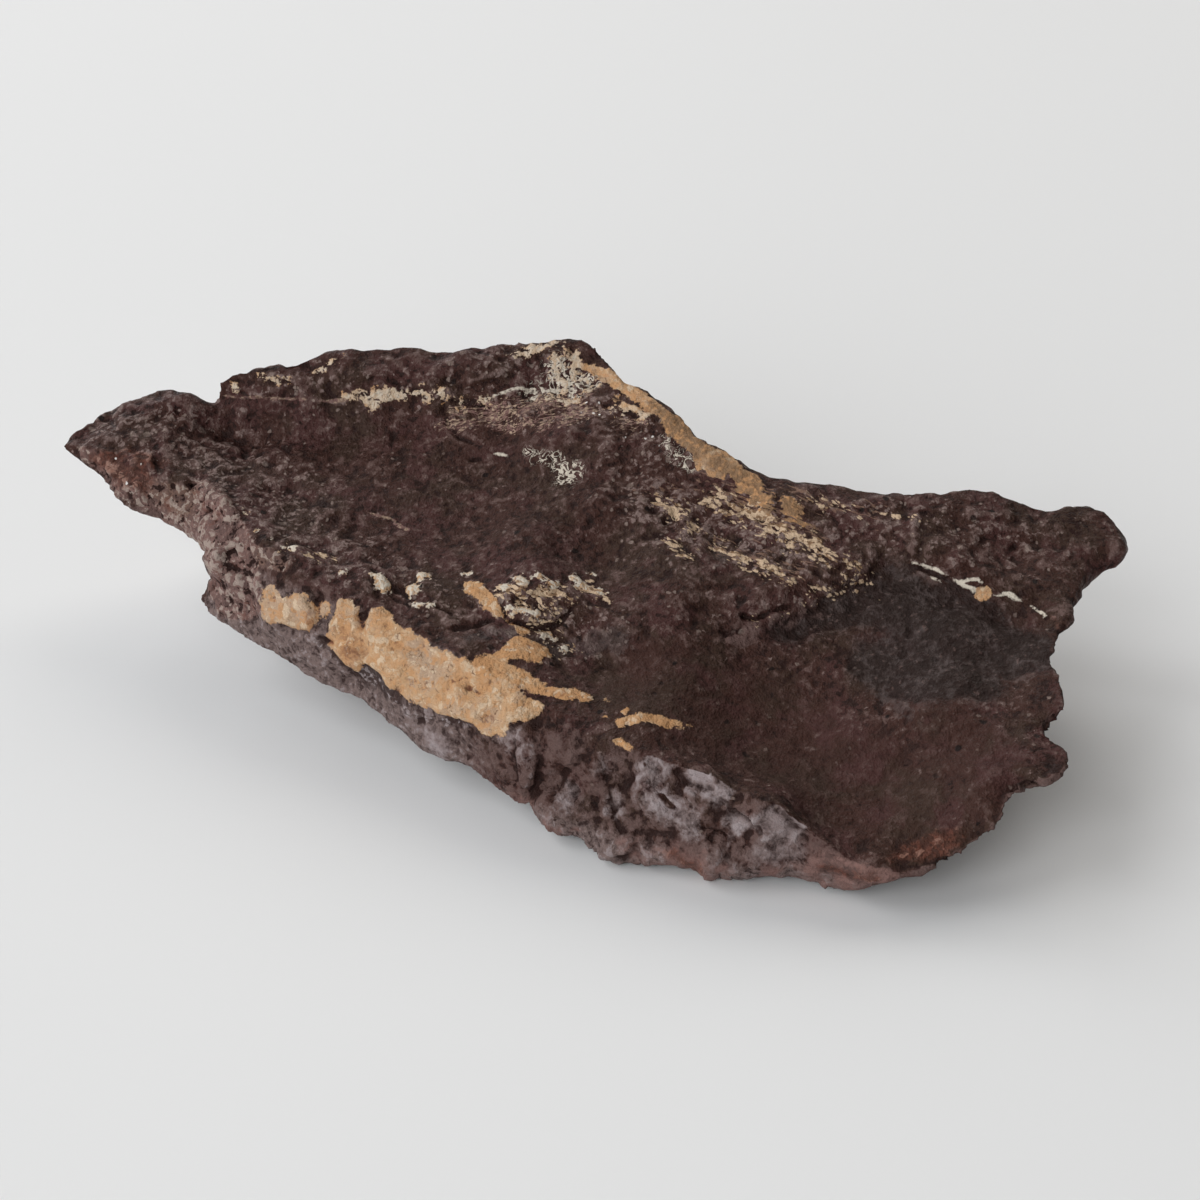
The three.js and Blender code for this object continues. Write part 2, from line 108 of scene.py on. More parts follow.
SUMMIT_CRUST = [
    [(2.5, 10.2, 9.4, 0.3), (2.2, 11, 8.3, 0.5), (2.7, 11.2, 7.3, 0.35), (3.4, 11.1, 6.6, 0.2)],
    [(-8.9, 13.6, 4.9, 0.2), (-8.2, 13.7, 4.4, 0.4), (-7.8, 13.8, 3.8, 0.25)],
    [(0.3, 10.1, 11.2, 0.22), (0.8, 9.9, 11.1, 0.33), (1.3, 9.3, 11, 0.38), (1.9, 8.7, 10.9, 0.4),
     (2.6, 8.1, 10.8, 0.42), (3.2, 7.3, 10.8, 0.38), (3.7, 6.6, 10.5, 0.38), (4.2, 6.1, 10.3, 0.42),
     (4.7, 5.6, 10.1, 0.4), (5.1, 5, 9.9, 0.43), (5.4, 4.6, 9.7, 0.46), (5.9, 4.4, 9.6, 0.54),
     (6.4, 4.2, 9.5, 0.5)],
    [(5.4, 4.2, 9.4, 0.36), (5.9, 3.8, 9.3, 0.36)],
    [(6.8, 3.7, 9.3, 0.42), (7.3, 3.2, 9.1, 0.54), (7.7, 2.5, 8.9, 0.48), (8, 1.9, 8.6, 0.3)],
    [(8.7, 2.1, 9, 0.3), (9.1, 1.7, 8.6, 0.38), (9.3, 1.2, 8.3, 0.25)],
    [(1.6, 8, 10.7, 0.17), (2, 7.5, 10.7, 0.23), (2.4, 7.2, 10.7, 0.18)],
    [(2.6, 6.9, 10.6, 0.15), (3, 6.6, 10.5, 0.19)],
]
RIM_TAN = [
    [(2.9, 7.5, 10.8, 0.25), (3.6, 6.7, 10.5, 0.6), (4.3, 6, 10.3, 0.7), (5.2, 4.9, 9.9, 0.7)],
    [(5.9, 4.2, 9.6, 0.6), (6.6, 3.6, 9.2, 0.7), (7.7, 2.6, 8.9, 0.9), (9.4, 1.2, 8.3, 0.8)],
]
VALLEY_CREAM = [
    [(-10.3, 9.8, 9.7, 0.09), (-9.7, 9.8, 9.9, 0.2), (-8.6, 9.8, 9.9, 0.28), (-7.6, 9.7, 10, 0.25),
     (-6.6, 9.5, 10.2, 0.22), (-6.1, 9.4, 10.1, 0.18)],
    [(-9.1, 9.6, 9.5, 0.16)], [(-5.8, 9.3, 9.9, 0.13), (-4.5, 9.2, 9.9, 0.14), (-3.9, 9.2, 10.1, 0.12)],
    [(-15.5, 10.9, 9.6, 0.13)], [(-14.3, 10.9, 10.3, 0.13), (-13.1, 10.6, 10.3, 0.09)],
    [(-11.7, 10.7, 10.8, 0.1), (-10.7, 11.1, 11, 0.11)],
    [(-3.2, 10.6, 11.4, 0.12), (-2.8, 10.7, 11.6, 0.24), (-2.2, 10.9, 11.8, 0.3), (-1.5, 10.9, 11.9, 0.24),
     (-0.7, 11.2, 11.9, 0.18)],
    [(-1, 10.2, 11.4, 0.2), (-1, 9.8, 10.9, 0.25), (-0.9, 9.2, 10.6, 0.26)],
    [(-0.3, 10.6, 11.6, 0.22), (-0.2, 10, 11.2, 0.25), (-0.2, 9.6, 10.8, 0.21)],
    [(0.1, 9.7, 10.8, 0.2), (0.5, 9, 10.7, 0.25)],
    [(-1.5, 8.9, 10.3, 0.24), (-0.9, 8.4, 10.4, 0.24), (-0.2, 8.4, 10.5, 0.15)],
    [(1.4, 7.6, 10.6, 0.25), (1.8, 7.2, 10.6, 0.24)], [(2.6, 6.8, 10.6, 0.24), (3, 6.6, 10.5, 0.14)],
]
CREAM_CLOTS = [
    [(-14.3, 3.6, 7.5, 0.05)], [(-13.6, 2.3, 7.3, 0.09)], [(-13.1, 1.7, 7.2, 0.07)],
    [(-12.2, 1.2, 7.2, 0.13), (-11.9, 1.2, 7.1, 0.13)], [(-11.4, 0.9, 7.1, 0.08)],
    [(-8.4, -0.6, 6.8, 0.26), (-8, -1, 6.6, 0.26)], [(-7, -1.1, 6.6, 0.26), (-6.9, -1.4, 6.5, 0.2)],
    [(-6.5, -0.4, 6.7, 0.27)], [(-6.7, -2, 6.4, 0.14), (-6.2, -2.2, 6.4, 0.17)], [(-9.9, -0.3, 6.8, 0.18)],
    [(-4.7, -0.3, 6.8, 0.18), (-4.5, -0.3, 6.8, 0.14)], [(-3, -1.7, 7, 0.24)],
    [(-2.5, -1.3, 7.2, 0.22), (-2.1, -1.8, 7.3, 0.17)], [(-1.6, -1.3, 7.3, 0.2), (-1, -1.6, 7.1, 0.18)],
    [(-0.2, -0.9, 7, 0.22), (0.2, -1.3, 6.8, 0.2)], [(0.6, -0.5, 6.8, 0.14)], [(0.9, -1.4, 6.7, 0.16)],
    [(-2.9, -2.7, 6.7, 0.22), (-2.2, -2.9, 6.5, 0.17), (-1.6, -2.9, 6.5, 0.18)],
    [(-1.4, -3.6, 5.9, 0.2), (-1, -3.8, 5.8, 0.16)], [(-0.6, -4, 5.5, 0.22)],
]
WHITE_LACE = [
    [(-1.1, 5.6, 9.2, 0.17), (-0.8, 5.2, 8.9, 0.34), (-0.3, 4.8, 8.9, 0.4), (-0.7, 4.5, 8.6, 0.3)],
    [(-2.1, 6, 9, 0.12), (-1.5, 5.6, 9, 0.13)],
    [(-1.1, 10.1, 11.3, 0.35), (-0.8, 9.5, 10.8, 0.48), (-0.2, 9.2, 10.8, 0.65), (0.5, 9.4, 10.8, 0.46)],
    [(-2.2, 9.2, 10.3, 0.25), (-1.4, 9.4, 10.5, 0.29)],
    [(3.6, 5.6, 10, 0.15), (4.3, 4.8, 9.6, 0.25), (4.8, 4.3, 9.4, 0.2)],
]
CREAM_SPECKLE = [
    [(7.8, 5.6, 8, 0.4), (9.4, 5.3, 7.3, 0.5), (10, 6, 5.8, 0.3)],
    [(-13.2, 12.2, 9, 0.4), (-11, 12.3, 9.4, 0.5)],
    [(0.4, 11.9, 8.6, 0.4), (-0.4, 12.9, 7.2, 0.6), (-1.6, 13.5, 5.2, 0.4)],
    [(-3.2, -2, 6.8, 0.46), (-2.6, -2.2, 7.1, 0.48), (-1.6, -2.3, 7, 0.46), (-0.7, -1.9, 6.9, 0.5)],
    [(-2.8, -2.7, 6.6, 0.41), (-1.8, -2.9, 6.6, 0.43), (-1, -2.8, 6.5, 0.38)],
    [(-0.3, -2.3, 6.8, 0.3), (0.5, -1.4, 6.7, 0.4), (1.1, -1.7, 6.7, 0.4)],
    [(-1.4, -3.6, 5.9, 0.28), (-0.8, -3.7, 5.7, 0.3), (-0.5, -4.2, 5.5, 0.28)],
    [(2.8, 2.9, 8.5, 0.22), (3.5, 2.8, 8.5, 0.4), (4.3, 2.1, 8.3, 0.4), (4.7, 1.4, 8, 0.4)],
    [(3.9, 0.4, 7.8, 0.3), (4.6, -0.2, 7.7, 0.3)],
    [(5.8, 2.8, 8.6, 0.57), (7, 2.2, 8.4, 0.6), (9.3, 0.5, 8, 0.55), (10.5, -0.4, 7.8, 0.5),
     (11.5, -0.8, 7.4, 0.36)],
    [(5.9, 0.7, 7.6, 0.45), (6.9, -0.2, 7.4, 0.4), (8.5, -1.3, 7.3, 0.33)],
    [(9.6, -2.1, 6.6, 0.21), (10.1, -1.7, 6.8, 0.21), (11, -1.5, 6.9, 0.17), (12.1, -1, 7, 0.17)],
    [(9.3, 2.2, 8.9, 0.28), (10.6, 2, 8.8, 0.25), (12.2, 1.6, 8.7, 0.19)],
    [(7.5, -2.9, 6.3, 0.18), (8.1, -2.7, 6.4, 0.18)], [(13.4, 1.4, 8.6, 0.18), (14, 1.2, 8.7, 0.18)],
    [(-12, 1.2, 7.1, 0.25), (-11, 0.9, 7, 0.3), (-10.1, 0.8, 6.8, 0.3)],
]
TAN_STREAKS = [
    [(2.6, 3.2, 8.7, 0.16), (3.9, 3.5, 8.7, 0.16), (5.1, 3.4, 8.9, 0.15), (5.9, 3.5, 9, 0.15)],
    [(6.4, 3.1, 8.8, 0.55), (8, 1.8, 8.6, 0.61), (9.7, 0.9, 8.1, 0.6)],
    [(5.5, 3.2, 8.9, 0.4), (9, 2.6, 9, 0.4), (12.5, 1.5, 8.7, 0.3)],
    [(6, 0.7, 7.8, 0.5), (9, -1, 7.4, 0.5)],
]
PINK_STRIAE = [
    [(-5.5, 8.9, 9.4, 0.2), (-4.4, 9, 9.7, 0.22), (-3.1, 8.8, 9.9, 0.24), (-1.7, 8.4, 10.2, 0.37),
     (0, 8.5, 10.6, 0.25)],
    [(-3.5, 8.1, 9.4, 0.21), (-2.6, 7.7, 9.6, 0.21), (-1.1, 7.4, 10, 0.34), (0.5, 7.5, 10.4, 0.27)],
    [(-5.7, 8.5, 9.1, 0.21), (-4.4, 8.7, 9.4, 0.23), (-2.6, 8.3, 9.9, 0.22)],
    [(2, 6.6, 10.3, 0.18), (2.6, 6.5, 10.4, 0.15)],
]
PINK_SCRATCH = [
    [(-9.1, 3.9, 7.4, 0.06), (-8.2, 3.6, 7.2, 0.1), (-7.3, 2.8, 7.1, 0.11)],
    [(-16.1, 11, 9.2, 0.04), (-14.7, 10.6, 9.4, 0.07), (-12, 9.9, 9.6, 0.05), (-10.4, 9.8, 9.6, 0.08)],
]
WHITE_VEIN = [
    [(-4, 9.2, 10.1, 0.04), (-2.8, 9.4, 10.4, 0.05), (-1.5, 9.3, 10.4, 0.06), (-0.2, 9, 10.7, 0.06)],
    [(-3.8, 6.7, 8.6, 0.04), (-2.9, 6.4, 8.7, 0.07)],
    [(13.7, -0.5, 7.5, 0.03), (14.3, -0.8, 7.5, 0.05), (14.9, -1, 7.4, 0.05), (15.5, -1.3, 7.1, 0.05),
     (15.9, -1.6, 7, 0.08), (16.3, -1.8, 6.95, 0.07), (16.4, -2.15, 6.9, 0.05)],
    [(15.8, -1.5, 7.1, 0.06), (16.1, -1.5, 7.3, 0.08), (16.4, -1.5, 7.3, 0.08), (16.7, -1.7, 7.2, 0.06)],
    [(14.6, -1.1, 7.1, 0.02), (15, -1.3, 7, 0.03)],
    [(16.9, -2.1, 6.85, 0.07), (17.4, -2.1, 6.9, 0.08), (17.7, -2.1, 7, 0.07), (18, -2.3, 6.8, 0.07),
     (18.2, -2.5, 6.8, 0.06), (18.6, -2.7, 6.7, 0.06), (18.9, -3, 6.6, 0.05), (19.1, -3.2, 6.5, 0.06)],
]
GLINTS = [
    [(-20.4, 7.7, 8, 0.5), (-19.4, 7.3, 7.8, 0.8), (-19.6, 6.7, 6.8, 0.5)],
    [(0.4, 8, 10.5, 0.5), (1.5, 6.5, 10, 0.7), (3.2, 5.5, 9.8, 0.7)],
    [(-15, 1.6, 6, 0.5), (-14, 0.6, 6, 0.4)],
]
# Painted shade under the caliche band's lower edge, dark with pale specks.
SHADED_FRINGE = [
    [(-10.9, -1.8, 4.5, 0.2), (-10.1, -2.4, 4.1, 0.4), (-9.5, -2.9, 3.8, 0.6), (-8.7, -3.4, 3.7, 0.7),
     (-8, -4.1, 3.5, 0.6), (-7.4, -4.7, 3.3, 0.4), (-6, -5.7, 3.2, 0.25), (-4.4, -6.8, 3.4, 0.2)],
]
OCHRE_LOBES = [
    [(-9.8, -1.8, 5.8, 0.35), (-9.7, -2.2, 5, 0.6), (-9.5, -2.7, 4.3, 0.7)],
    [(-8.2, -2.4, 6.3, 0.3), (-8, -3, 5.8, 0.38)], [(-11.3, -1.4, 5.1, 0.25), (-11.1, -1.6, 4.7, 0.3)],
    [(-4.1, -5.4, 5.6, 0.2), (-3.5, -5.2, 5.8, 0.15)], [(-1.1, -6.7, 5.2, 0.3), (0.3, -6.9, 5, 0.5)],
    [(2.2, 8.3, 10.9, 0.3), (2.9, 7.5, 10.8, 0.35)],
]
WORN_BASIN = [
    [(2.5, -5.8, 5.1, 1.9), (4.9, -6.5, 4.7, 2.1), (8.1, -7.8, 3.6, 2.5), (11.1, -10.3, 3, 2.4)],
    [(14.5, -8.4, 5, 1.2), (15.7, -10.5, 4.5, 1.6), (14, -12.1, 3.3, 1.8)],
]
RUST = [
    [(12, -13.6, 2, 0.3), (12.9, -13.4, 2.4, 0.5), (13.7, -13.4, 2.5, 0.6), (14.5, -13.3, 2.8, 0.42)],
    [(19.4, -3.3, 6.4, 0.12), (19.6, -4.3, 6.5, 0.13)], [(16.5, -1.9, 6.9, 0.14), (16.8, -2, 6.9, 0.14)],
    [(-21.2, 7.9, 7.7, 0.4), (-20.5, 7.6, 7.8, 0.6), (-19.9, 7.1, 7.3, 0.65), (-19.2, 6.9, 7.3, 0.6)],
    [(-19.9, 7.9, 8.2, 0.35), (-18.9, 7.2, 8.1, 0.45), (-18.2, 7, 7.8, 0.3)],
    [(3.6, -11.7, 1.1, 0.25), (4.4, -11.8, 0.7, 0.3), (4.8, -11.8, 0.8, 0.35)],
    [(9.7, -13.6, 1.5, 0.36), (10.5, -14, 1.5, 0.32), (11.3, -14.1, 1.7, 0.25)],
    [(-9.7, -2.5, 4.4, 0.22), (-8.8, -3.1, 4.6, 0.26)], [(-11.2, -1.2, 5.3, 0.3), (-11, -1.4, 4.8, 0.2)],
    [(-8.9, -2.3, 5.8, 0.1), (-8.9, -2.9, 4.7, 0.15)], [(-7.6, -4.5, 3.3, 0.12)],
]
FRACTURE = [
    [(-22.3, 8.5, 7.9, 0.2), (-21.2, 7.8, 7.6, 0.45), (-20.3, 7.3, 7.3, 0.65), (-19.4, 6.8, 7, 0.71)],
    [(-18.9, 6.5, 6.9, 0.73), (-17.8, 6, 6.6, 1.03), (-16.7, 5.1, 6.3, 1.39), (-15.4, 3.2, 6.6, 1.13),
     (-14.5, 2.3, 6.5, 0.86), (-13.4, 1.1, 6.8, 0.51), (-12.4, 0.4, 7, 0.4)],
    [(-16.5, 5.3, 7.6, 0.73), (-15.5, 4.2, 7.5, 0.55), (-14.7, 3, 7.2, 0.48)],
    [(-15.7, 2.1, 4.6, 0.71), (-15, 1.5, 4.5, 1), (-14.2, 0.8, 4.5, 0.74), (-13.6, 0.3, 5.2, 0.62)],
    [(-15.1, 2, 5.6, 0.9), (-14.2, 1.2, 5.8, 0.9), (-13.4, 0.4, 5.6, 0.4)],
]
PINK_FOOT = [
    [(9.5, -13.5, 1.7, 0.5), (11, -13.9, 1.9, 0.7), (12.1, -13.8, 2, 0.4)],
]
GREY_SHEEN = [
    [(-2.9, -7.4, 3.9, 0.3), (-2.2, -8, 3.4, 0.2)], [(-0.5, -9.3, 2.5, 0.41), (0.2, -9.8, 2.1, 0.39)],
    [(0.6, -9.9, 3.5, 0.35)], [(1.3, -10.4, 2.2, 0.27)], [(2.8, -10.3, 3.9, 0.37)],
    [(3.2, -10.9, 2.9, 0.36), (4.4, -11.6, 2.4, 0.33)], [(4.9, -11.1, 4.2, 0.41), (5.4, -11.5, 3.9, 0.34)],
    [(6.5, -12.3, 2.9, 0.47), (7.4, -12.8, 3.3, 0.59), (8.2, -13, 2.8, 0.71), (8.8, -13.1, 3.2, 0.4)],
    [(7.3, -12.7, 1.8, 0.65), (8.2, -13.1, 1.8, 0.69)],
    [(-9.5, -2.9, 3.8, 0.1), (-8.1, -4, 3.7, 0.2), (-6.5, -5.1, 2.7, 0.3), (-5.2, -6.1, 2.1, 0.4)],
]
BLUE_GREY = [
    [(-4.4, -4.2, 6.1, 0.45), (-3.2, -3.7, 6.1, 0.5), (-1.1, -4.3, 5.6, 0.5), (0.5, -3.9, 5.6, 0.62),
     (1.7, -3.9, 5.9, 0.58)],
    [(12.4, -6.3, 4.9, 0.41), (12.9, -7.2, 4.8, 0.51), (13.3, -7.9, 4.8, 0.41)],
    [(5.7, 0.9, 7.7, 0.4), (6, -0.2, 7.4, 0.45)],
    [(-9.9, -2.6, 3.7, 0.21), (-8.6, -3.5, 3.9, 0.41), (-7.8, -4.3, 3.7, 0.39)],
]
DARK_SLAB = [
    [(8.3, -3.2, 5.8, 0.45), (10, -2.5, 6, 0.65), (11.6, -2, 6.3, 1), (12.9, -2, 6.6, 1.5),
     (14.4, -3.1, 6.5, 2), (16.1, -4.2, 6.3, 2), (17.7, -4.9, 6, 1.5), (18.6, -5.7, 6, 0.7)],
    [(12.3, -4.8, 5.5, 1.3), (14.2, -5.9, 5.7, 1.6), (16.1, -6.5, 5.6, 1)],
    [(12.9, -0.5, 7.2, 0.22), (13.6, -0.9, 7.1, 0.35)],
]
BROKEN_GROUND = [
    [(-21, 9.5, 8.4, 2), (-17, 8.5, 8.4, 2.2), (-13.5, 5, 8, 2.4), (-11, 2, 7.4, 2), (-8, -0.6, 6.8, 1.6),
     (-5, -2, 6.6, 1.8), (-1.5, -3, 6.3, 1.8), (1.5, -4, 5.8, 1.2)],
    [(-15, 10.6, 9.8, 1), (-8, 10.4, 10.4, 1), (-2, 9.6, 11, 1.8), (0.5, 7.8, 10.5, 1.6),
     (4, 5, 9.8, 1.4)],
    [(2, 4, 9, 1.4), (5, 1.5, 8.2, 2), (9, 0.3, 8, 2.2), (13, 1, 8.2, 1.8), (18, 0.5, 8, 1.8)],
    [(5.5, -3, 6.6, 0.8), (9, -2.4, 6.4, 1), (12.5, -0.8, 7.1, 0.8)],
]
CREVICES = [
    [(-5.2, -3.5, 6.2, 0.06), (-4.7, -3.4, 6.3, 0.2), (-4.1, -3.2, 6.3, 0.17), (-3.5, -3, 6.4, 0.06)],
    [(-3.2, -2.7, 6.6, 0.05), (-2.9, -3.2, 6.4, 0.07), (-2.1, -3.4, 6.2, 0.1), (-1.2, -3.3, 6.1, 0.1),
     (-0.7, -3.1, 6.2, 0.12), (-0.3, -2.7, 6.5, 0.05)],
    [(-7.9, -1.3, 6.5, 0.06), (-7.4, -1.7, 6.4, 0.08), (-6.9, -2, 6.4, 0.06)],
    [(-5.9, -2.2, 6.4, 0.06), (-5.2, -2.5, 6.3, 0.06)],
    [(-8.5, -0.4, 6.8, 0.08), (-8, -0.4, 6.7, 0.08), (-7.6, -1.2, 6.5, 0.06)],
    [(-7.3, -1.1, 6.5, 0.06), (-6.9, -1.8, 6.4, 0.08), (-6.6, -1.5, 6.6, 0.06)],
    [(6.8, -2.9, 6.4, 0.15), (7.4, -2.9, 6.3, 0.09), (8.1, -2.6, 6.5, 0.07), (9, -2.3, 6.5, 0.05)],
    [(13.4, -0.4, 7.5, 0.06), (14.4, -0.9, 7.3, 0.07), (15.5, -1.5, 7.1, 0.07), (15.9, -1.8, 6.9, 0.05)],
    [(13.6, -2.4, 6.6, 0.02), (13.5, -3.7, 6.2, 0.07), (13.3, -4.6, 5.8, 0.07), (12.7, -5.1, 5.5, 0.02)],
    [(12.1, -6.1, 4.8, 0.03), (12.1, -7.3, 4.6, 0.06)], [(3.6, 1.8, 8.2, 0.17)],
    [(-8.2, 8.8, 8.7, 0.06), (-8.3, 8.3, 8.5, 0.05), (-8.2, 7.7, 8.3, 0.02)],
    [(-6, 9.2, 9.8, 0.05), (-5.9, 8.7, 9.3, 0.06), (-5.4, 7.9, 8.9, 0.07), (-4.3, 7.1, 8.8, 0.06)],
    [(-4.7, 6.6, 8.4, 0.09), (-4.3, 6.6, 8.4, 0.06)], [(-10.9, -1.8, 4.5, 0.11), (-10.3, -2.2, 4.5, 0.08)],
    [(-4.4, -6, 4.9, 0.1)],
    [(-15.3, 2.4, 5.7, 0.12), (-14.9, 2.1, 5.8, 0.12), (-14.3, 1.5, 5.8, 0.09), (-13.7, 0.9, 5.9, 0.04)],
    [(-18.7, 7.4, 8, 0.15), (-18.4, 6.7, 7.9, 0.26)], [(-17, 5.8, 7.5, 0.1), (-16.7, 6, 7.6, 0.1)],
]
GROOVES = [
    [(-0.8, -9.1, 1.9, 0.19), (-0.7, -9.1, 3.1, 0.18)], [(0.8, -10.1, 2.1, 0.23), (1.1, -10.1, 3.5, 0.16)],
    [(2.8, -11.6, 1.1, 0.24), (2.5, -11.2, 2.1, 0.22)], [(4, -10.8, 3.4, 0.23), (4.2, -10.6, 4.3, 0.13)],
    [(5.4, -11.8, 1.6, 0.2), (5.5, -11.7, 2.8, 0.16)], [(6.2, -12, 1.5, 0.23), (6, -11.9, 2.8, 0.21)],
    [(1.8, -10.4, 3, 0.17), (2.1, -10, 4, 0.13)], [(6.8, -12.4, 2, 0.18), (6.6, -12.3, 3.2, 0.15)],
    [(-8.9, -2.3, 5.8, 0.2), (-8.9, -2.9, 4.7, 0.24)], [(-10.8, -1.2, 6.1, 0.14), (-10.8, -1.7, 5, 0.19)],
    [(-15.1, 1.8, 5, 0.12), (-14.3, 1.1, 5, 0.12)], [(-15.3, 1.7, 4.3, 0.12), (-14.5, 1, 4.3, 0.12)],
]

# Swells and dents of the outline: (x, y, z, reach, height).
SWELLS = [
    (-20, 6.8, 6.9, 1.2, 0.26), (-18.9, 6.4, 6.5, 1.2, 0.32), (-17.6, 5.7, 6.3, 1.2, 0.32),
    (-16.5, 4.9, 6.2, 1.1, 0.42), (-15.8, 3.9, 5.9, 1, 0.4), (-15.2, 2.8, 5.8, 0.9, 0.45),
    (-14.6, 1.7, 5.5, 0.8, 0.6), (-15.5, 2.6, 5.5, 0.7, 0.3), (-7.3, -4.7, 2.6, 1.2, 0.2),
    (-6.3, -5.3, 2.2, 1.1, 0.24), (-3.1, -7.7, 1.6, 1.2, 0.15), (-0.9, -9.5, 1.2, 1, 0.6),
    (-5.7, -5.8, 1.7, 1.1, 0.3), (4.2, -11.8, 1.2, 1.2, 0.25), (5.3, -11.9, 1.3, 1.3, 0.6),
    (3.4, -10.9, 2.8, 0.6, 0.35), (5.3, -11.6, 2.6, 0.6, 0.25), (-14.8, 2.3, 6.2, 0.5, 0.3),
    (6.4, -12.2, 1.3, 1.3, 0.6), (-21.6, 10, 8.5, 1.1, -0.3), (-22.2, 9.2, 8.2, 0.7, -0.17),
    (-17.7, 10.6, 9, 1, 0.3), (-16.9, 10.5, 8.8, 0.9, 0.05), (-12.2, 10.7, 10.7, 1.4, -0.21),
    (-4.5, 10.5, 11.3, 1.1, 0.17), (5.3, 4.8, 9.8, 1, 0.26), (6.1, 4.2, 9.5, 0.9, 0.26),
    (8.1, 3.3, 9.4, 1.2, -0.25), (9.7, 2.9, 9, 0.5, 0.25), (14.8, 2, 9.1, 1.4, -0.25),
    (19.1, 2.3, 8.5, 1.1, -0.17), (22.1, 1.8, 8, 0.9, 0.21), (21.9, -0.5, 7.1, 0.7, -0.38),
    (22.6, 0.6, 7.4, 0.6, 0.3), (-9.1, -3.2, 3, 1.2, -0.3), (-9.8, -2.7, 3.1, 0.9, -0.2),
    (11.3, -14, 1.2, 0.9, -0.1), (10.1, -13.7, 1.1, 0.8, -0.35), (11.5, -14, 1.9, 0.8, 0.4),
    (13.7, -14, 2.1, 0.7, -0.2), (18.7, -9.4, 5.4, 0.9, -0.32), (16.8, -12.4, 4.2, 0.8, -0.35),
    (15.6, -13.6, 3.1, 0.8, -0.15), (20, -3.3, 6.7, 0.7, 0.38),
]

# ---- Noise ----

LATTICE_PRIMES = (374761393, 668265263, 2147483647)
SEED_PRIME = 1274126177
WORD = 0xFFFFFFFF
SLOPES = np.array([d for d in itertools.product((-1, 0, 1), repeat=3) if np.count_nonzero(d) == 2], float)


def shuffled(cell, seed):
    """A whole number for each corner of a lattice, the same on every run."""
    number = sum(cell[:, axis] * prime for axis, prime in enumerate(LATTICE_PRIMES)) + seed * SEED_PRIME
    number &= WORD
    number = ((number ^ (number >> 13)) * SEED_PRIME) & WORD
    return number ^ (number >> 16)


def smoothstep(low, high, value):
    t = np.clip((value - low) / (high - low), 0, 1)
    return t * t * (3 - 2 * t)


def noise(points, size, seed=0):
    """Smooth bumps about `size` across, from about -1 to 1."""
    place = points / size + 0.37 * seed
    cell = np.floor(place).astype(np.int64)
    part = place - cell
    ease = part ** 3 * (part * (part * 6 - 15) + 10)
    total = np.zeros(len(points))
    for corner in itertools.product((0, 1), repeat=3):
        slope = SLOPES[shuffled(cell + corner, seed) % len(SLOPES)]
        share = np.prod(np.where(corner, ease, 1 - ease), axis=1)
        total += share * ((part - corner) * slope).sum(1)
    return total


class Grains:
    """Scattered grains: each point's gap to the nearest, with its offset and lots, and to the next."""

    def __init__(self, points, size, seed):
        place = points / size
        cell = np.floor(place).astype(np.int64)
        self.gap = np.full(len(points), 9.0)
        self.next_gap = np.full(len(points), 9.0)
        self.offset = np.zeros((len(points), 3))
        self.lots = np.zeros((len(points), 3))
        for step in itertools.product((-1, 0, 1), repeat=3):
            home = cell + step
            seat = np.stack([shuffled(home, seed + k) for k in range(3)], 1) / WORD
            away = place - home - seat
            gap = np.linalg.norm(away, axis=1)
            closer = gap < self.gap
            self.next_gap = np.where(closer, self.gap, np.minimum(self.next_gap, gap))
            self.lots[closer] = np.stack([shuffled(home[closer], seed + k) for k in (3, 4, 5)], 1) / WORD
            self.offset[closer] = away[closer]
            self.gap = np.where(closer, gap, self.gap)

    def crease(self):
        """0 on the seams between grains, rising inwards."""
        return self.next_gap - self.gap

    def tilted(self):
        """Flat chips, each leaning its own way."""
        return (self.offset * (self.lots * 2 - 1)).sum(1)


def terraces(value, riser=0.3):
    """Flat treads with steep risers between them."""
    tread = np.floor(value)
    return tread + smoothstep(1 - riser, 1, value - tread)


def depth_in(points, runs):
    """How far inside the nearest run each point lies, negative outside, out to REACH."""
    depth = np.full(len(points), -REACH)
    for run in runs:
        for start, end in zip(run, run[1:] or run):
            start, end = np.array(start), np.array(end)
            along = (end - start)[:3]
            t = np.clip((points - start[:3]) @ along / max(along @ along, 1e-9), 0, 1)
            gap = np.linalg.norm(points - start[:3] - t[:, None] * along, axis=1)
            depth = np.maximum(depth, start[3] + t * (end[3] - start[3]) - gap)
    return np.clip(depth, -REACH, REACH)


# ---- The stone ----

# Grain of the surface: size, height, how much higher on broken ground, and seed.
GRAIN = [(1.2, 0.09, 0.06, 2), (0.62, 0.065, 0.04, 3), (0.32, 0.045, 0.03, 4)]
# How far apart the grains of each kind are.
PIT_SIZE = 0.95
CHIP_SIZE = 1.3
FLAKE_SIZE = 0.55
BACK_FACE_SIZE = 3.4
BLOCK_SIZE = 1.7
SMALL_BLOCK_SIZE = 0.8
SCALE_SIZE = 0.42
KNOB_SIZE = 0.9
CLOT_SIZE = 0.36
# Heights and depths.
GENTLE_SWELL = 0.13
LEDGE_HEIGHT = 0.03
ROUGH_LEDGE_HEIGHT = 0.13
PIT_DEPTH = 0.06
ROUGH_PIT_DEPTH = 0.1
BAND_THICKNESS = 0.08
SPECKLE_HEIGHT = 0.1
CLOT_HEIGHT = 0.12
VEIN_HEIGHT = 0.04
SLAB_DROP = 0.12
GROOVE_DEPTH = 0.17
CREVICE_DEPTH = 0.32


def vectors(collection, name):
    values = np.empty(len(collection) * 3)
    collection.foreach_get(name, values)
    return values.reshape(-1, 3)


